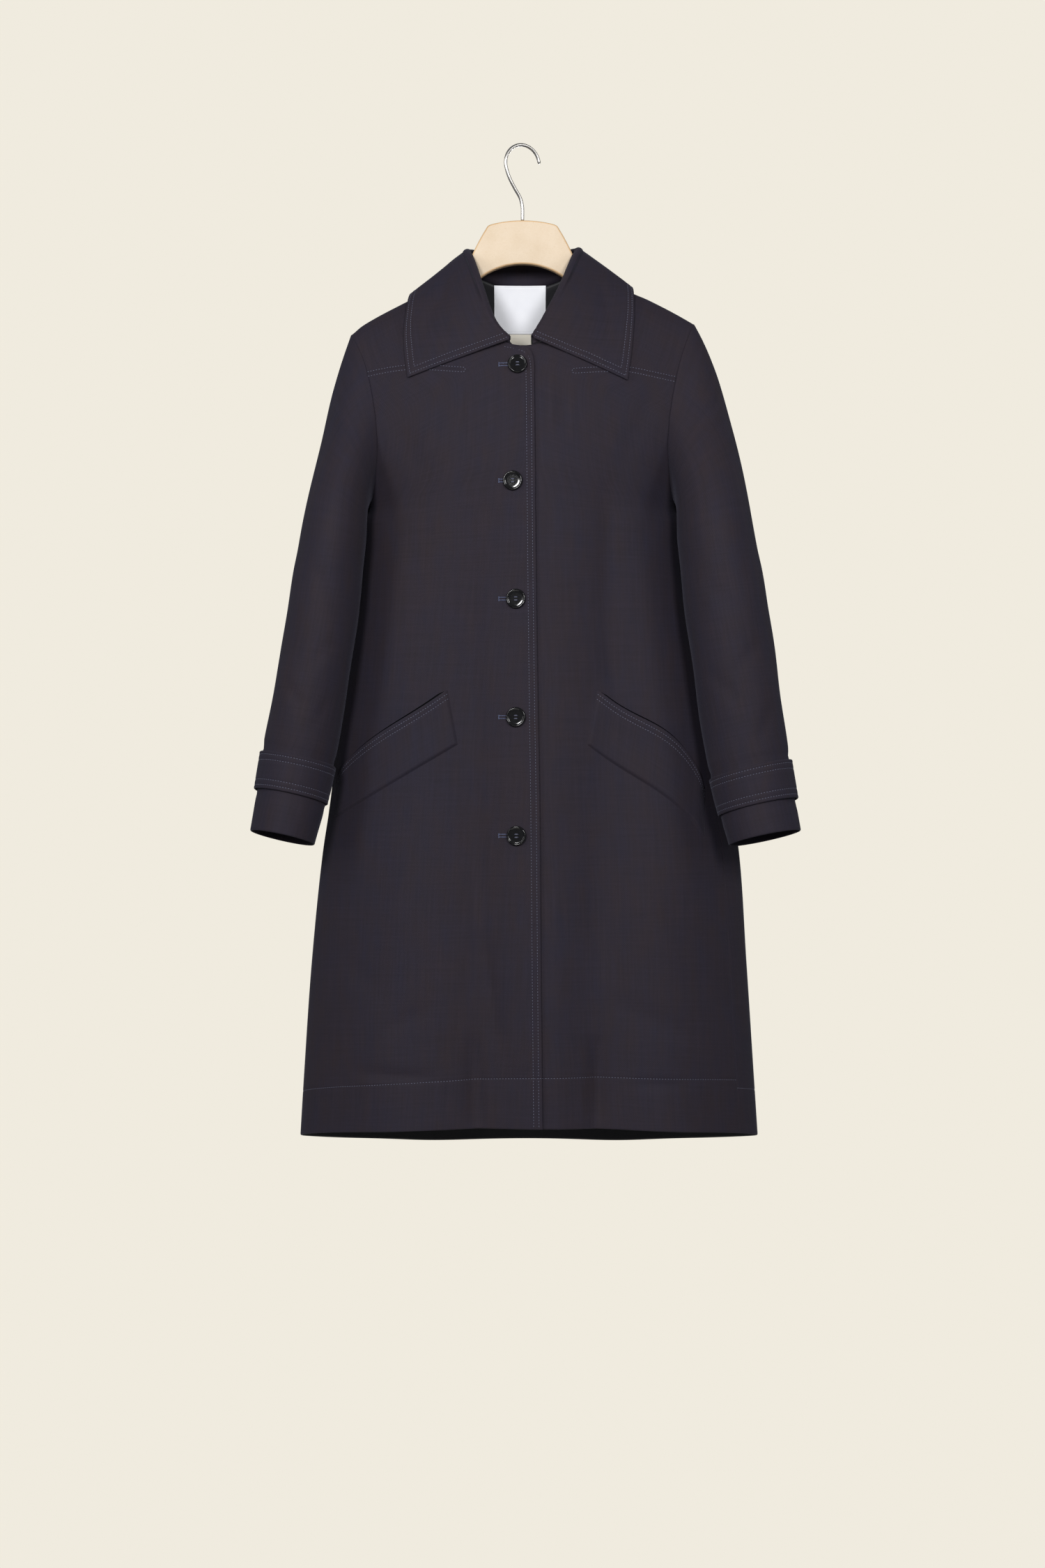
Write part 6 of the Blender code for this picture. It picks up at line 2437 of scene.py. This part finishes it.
@dataclass
class Studio:
    """Pale floor, soft lights and the photograph's camera."""
    camera_place: Triple = (0.0, -3.4, -0.75)
    lens: float = 3.4 * 36.0 / 1.845
    sensor: float = 36.0
    backdrop: Colour = (0.871, 0.831, 0.737, 1.0)
    ambient: Colour = (0.92, 0.94, 1.0, 1.0)
    ambient_strength: float = 0.14
    floor_height: float = -2.0
    floor_radius: float = 0.92
    lamps: tuple[Lamp, ...] = (
        Lamp("left_strip", (-2.3, -1.6, 0.3), (0.0, 0.0, -0.45), (0.55, 1.9), 26.0),
        Lamp("right_strip", (2.3, -1.6, 0.3), (0.0, 0.0, -0.45), (0.5, 1.9), 17.0),
        Lamp("left_front", (-1.0, -3.0, 0.4), (0.0, 0.0, -0.35), (0.6, 0.8), 67.0),
        Lamp("right_front", (1.0, -3.0, 0.4), (0.0, 0.0, -0.35), (0.6, 0.8), 58.0),
        Lamp("back", (0.4, 3.0, 0.0), (0.0, 0.0, -0.55), (0.7, 0.9), 75.0),
    )

    def build(self) -> None:
        """Set the stage."""
        scene = bpy.context.scene
        camera = bpy.data.cameras.new("camera")
        camera.lens, camera.sensor_width = self.lens, self.sensor
        stand = bpy.data.objects.new("camera", camera)
        stand.location, stand.rotation_euler = self.camera_place, (math.pi / 2, 0.0, 0.0)
        scene.collection.objects.link(stand)
        scene.camera = stand
        scene.view_settings.view_transform = "Standard"
        for lamp in self.lamps:
            scene.collection.objects.link(lamp.build())
        self.world(scene)
        floor = bmesh.new()
        bmesh.ops.create_circle(floor, cap_ends=True, segments=96, radius=self.floor_radius,
                                matrix=Matrix.Translation((0.0, 0.0, self.floor_height)))
        data = bpy.data.meshes.new("floor")
        floor.to_mesh(data)
        floor.free()
        data.materials.append(FloorFinish().material("pale_floor"))
        item = bpy.data.objects.new("floor", data)
        scene.collection.objects.link(item)

    def world(self, scene: bpy.types.Scene) -> None:
        """Light the scene softly all round, with a plain pale backdrop.

        Args:
            scene: The scene.
        """
        world = bpy.data.worlds.new("studio")
        scene.world = world
        world.use_nodes = True
        tree = world.node_tree
        soft = tree.nodes["Background"]
        soft.inputs["Color"].default_value = self.ambient
        soft.inputs["Strength"].default_value = self.ambient_strength
        seen = tree.nodes.new("ShaderNodeBackground")
        seen.inputs["Color"].default_value = self.backdrop
        rays, mix = tree.nodes.new("ShaderNodeLightPath"), tree.nodes.new("ShaderNodeMixShader")
        tree.links.new(rays.outputs["Is Camera Ray"], mix.inputs[0])
        tree.links.new(soft.outputs[0], mix.inputs[1])
        tree.links.new(seen.outputs[0], mix.inputs[2])
        tree.links.new(mix.outputs[0], tree.nodes["World Output"].inputs["Surface"])


def sleeves(surface: BodySurface, finishes: Finishes) -> dict[Side, Sleeve]:
    """Make the two sleeves with their own sizes.

    Args:
        surface: The body's surface.
        finishes: The materials.

    Returns:
        The sleeves by side.
    """
    columns = "height inner outer forward half_depth slant"
    right = Curves(
        columns, (470, 182, 258.5, 48, 62, 6), (535, 189, 269, 52, 60, 9), (600, 197, 279.5, 56, 57, 12),
        (665, 207.5, 290.5, 60, 54, 15), (730, 219.6, 301, 64, 50, 17), (812, 239, 314, 70, 46, 16))
    left = Curves(
        columns, (470, 180, 270, 52, 62, 6), (535, 187, 281, 60, 60, 10), (600, 195, 291, 66, 57, 14),
        (665, 204, 298.5, 72, 54, 18), (730, 216, 306, 78, 50, 21), (812, 236, 319.5, 86, 46, 17))
    right_creases = creased(
        (-14, 508, 26, 546, 1.7, 9.0), (24, 588, -16, 632, 1.5, 8.5),
        (-34, 640, 2, 668, 1.9, 8.0), (36, 652, 12, 690, 1.3, 7.0),
        (92, 540, 126, 590, 2.0, 10.0), (-96, 560, -124, 610, 1.8, 9.0),
        (130, 630, 96, 668, 1.7, 8.0), (-140, 655, -104, 690, 1.6, 8.0),
        (8, 772, 30, 800, 0.9, 7.0))
    left_creases = creased(
        (20, 520, -18, 566, 1.8, 10.0), (-28, 596, 10, 628, 1.4, 8.0),
        (34, 622, 4, 662, 1.9, 8.5), (-38, 668, -14, 706, 1.4, 7.5),
        (-90, 548, -128, 596, 2.0, 10.0), (98, 570, 132, 622, 1.8, 9.0),
        (-132, 640, -98, 682, 1.7, 8.0), (142, 660, 110, 700, 1.6, 8.0),
        (-6, 782, -28, 806, 0.9, 7.0))
    return {Side.RIGHT: Sleeve(surface, finishes, Side.RIGHT, right, 722.0, (34.0, 14.0, 3.0), right_creases),
            Side.LEFT: Sleeve(surface, finishes, Side.LEFT, left, 734.0, (50.0, 45.0, 19.0), left_creases)}


def main() -> None:
    """Build the coat, the hanger and the studio in order."""
    logging.basicConfig(level=logging.INFO, format="%(message)s")
    finishes, surface = Finishes.made(), BodySurface()
    Studio().build()
    body = CoatBody(surface, finishes)
    loops = body.build()
    for side, sleeve in sleeves(surface, finishes).items():
        sleeve.build(*loops[side])
    Collar(body).build(finishes)
    Welt(surface, Side.RIGHT, (217.0, 741.0), (221.0, 792.0), 1.6, 0.5).build(finishes)
    Welt(surface, Side.LEFT, (213.0, 760.0), (212.0, 815.0), 3.0, 0.28, 11.6, 26.0).build(finishes)
    Buttons(surface, finishes).build()
    NeckLabels(surface, finishes).build()
    Hanger(finishes).build()


if __name__ == "__main__":
    main()
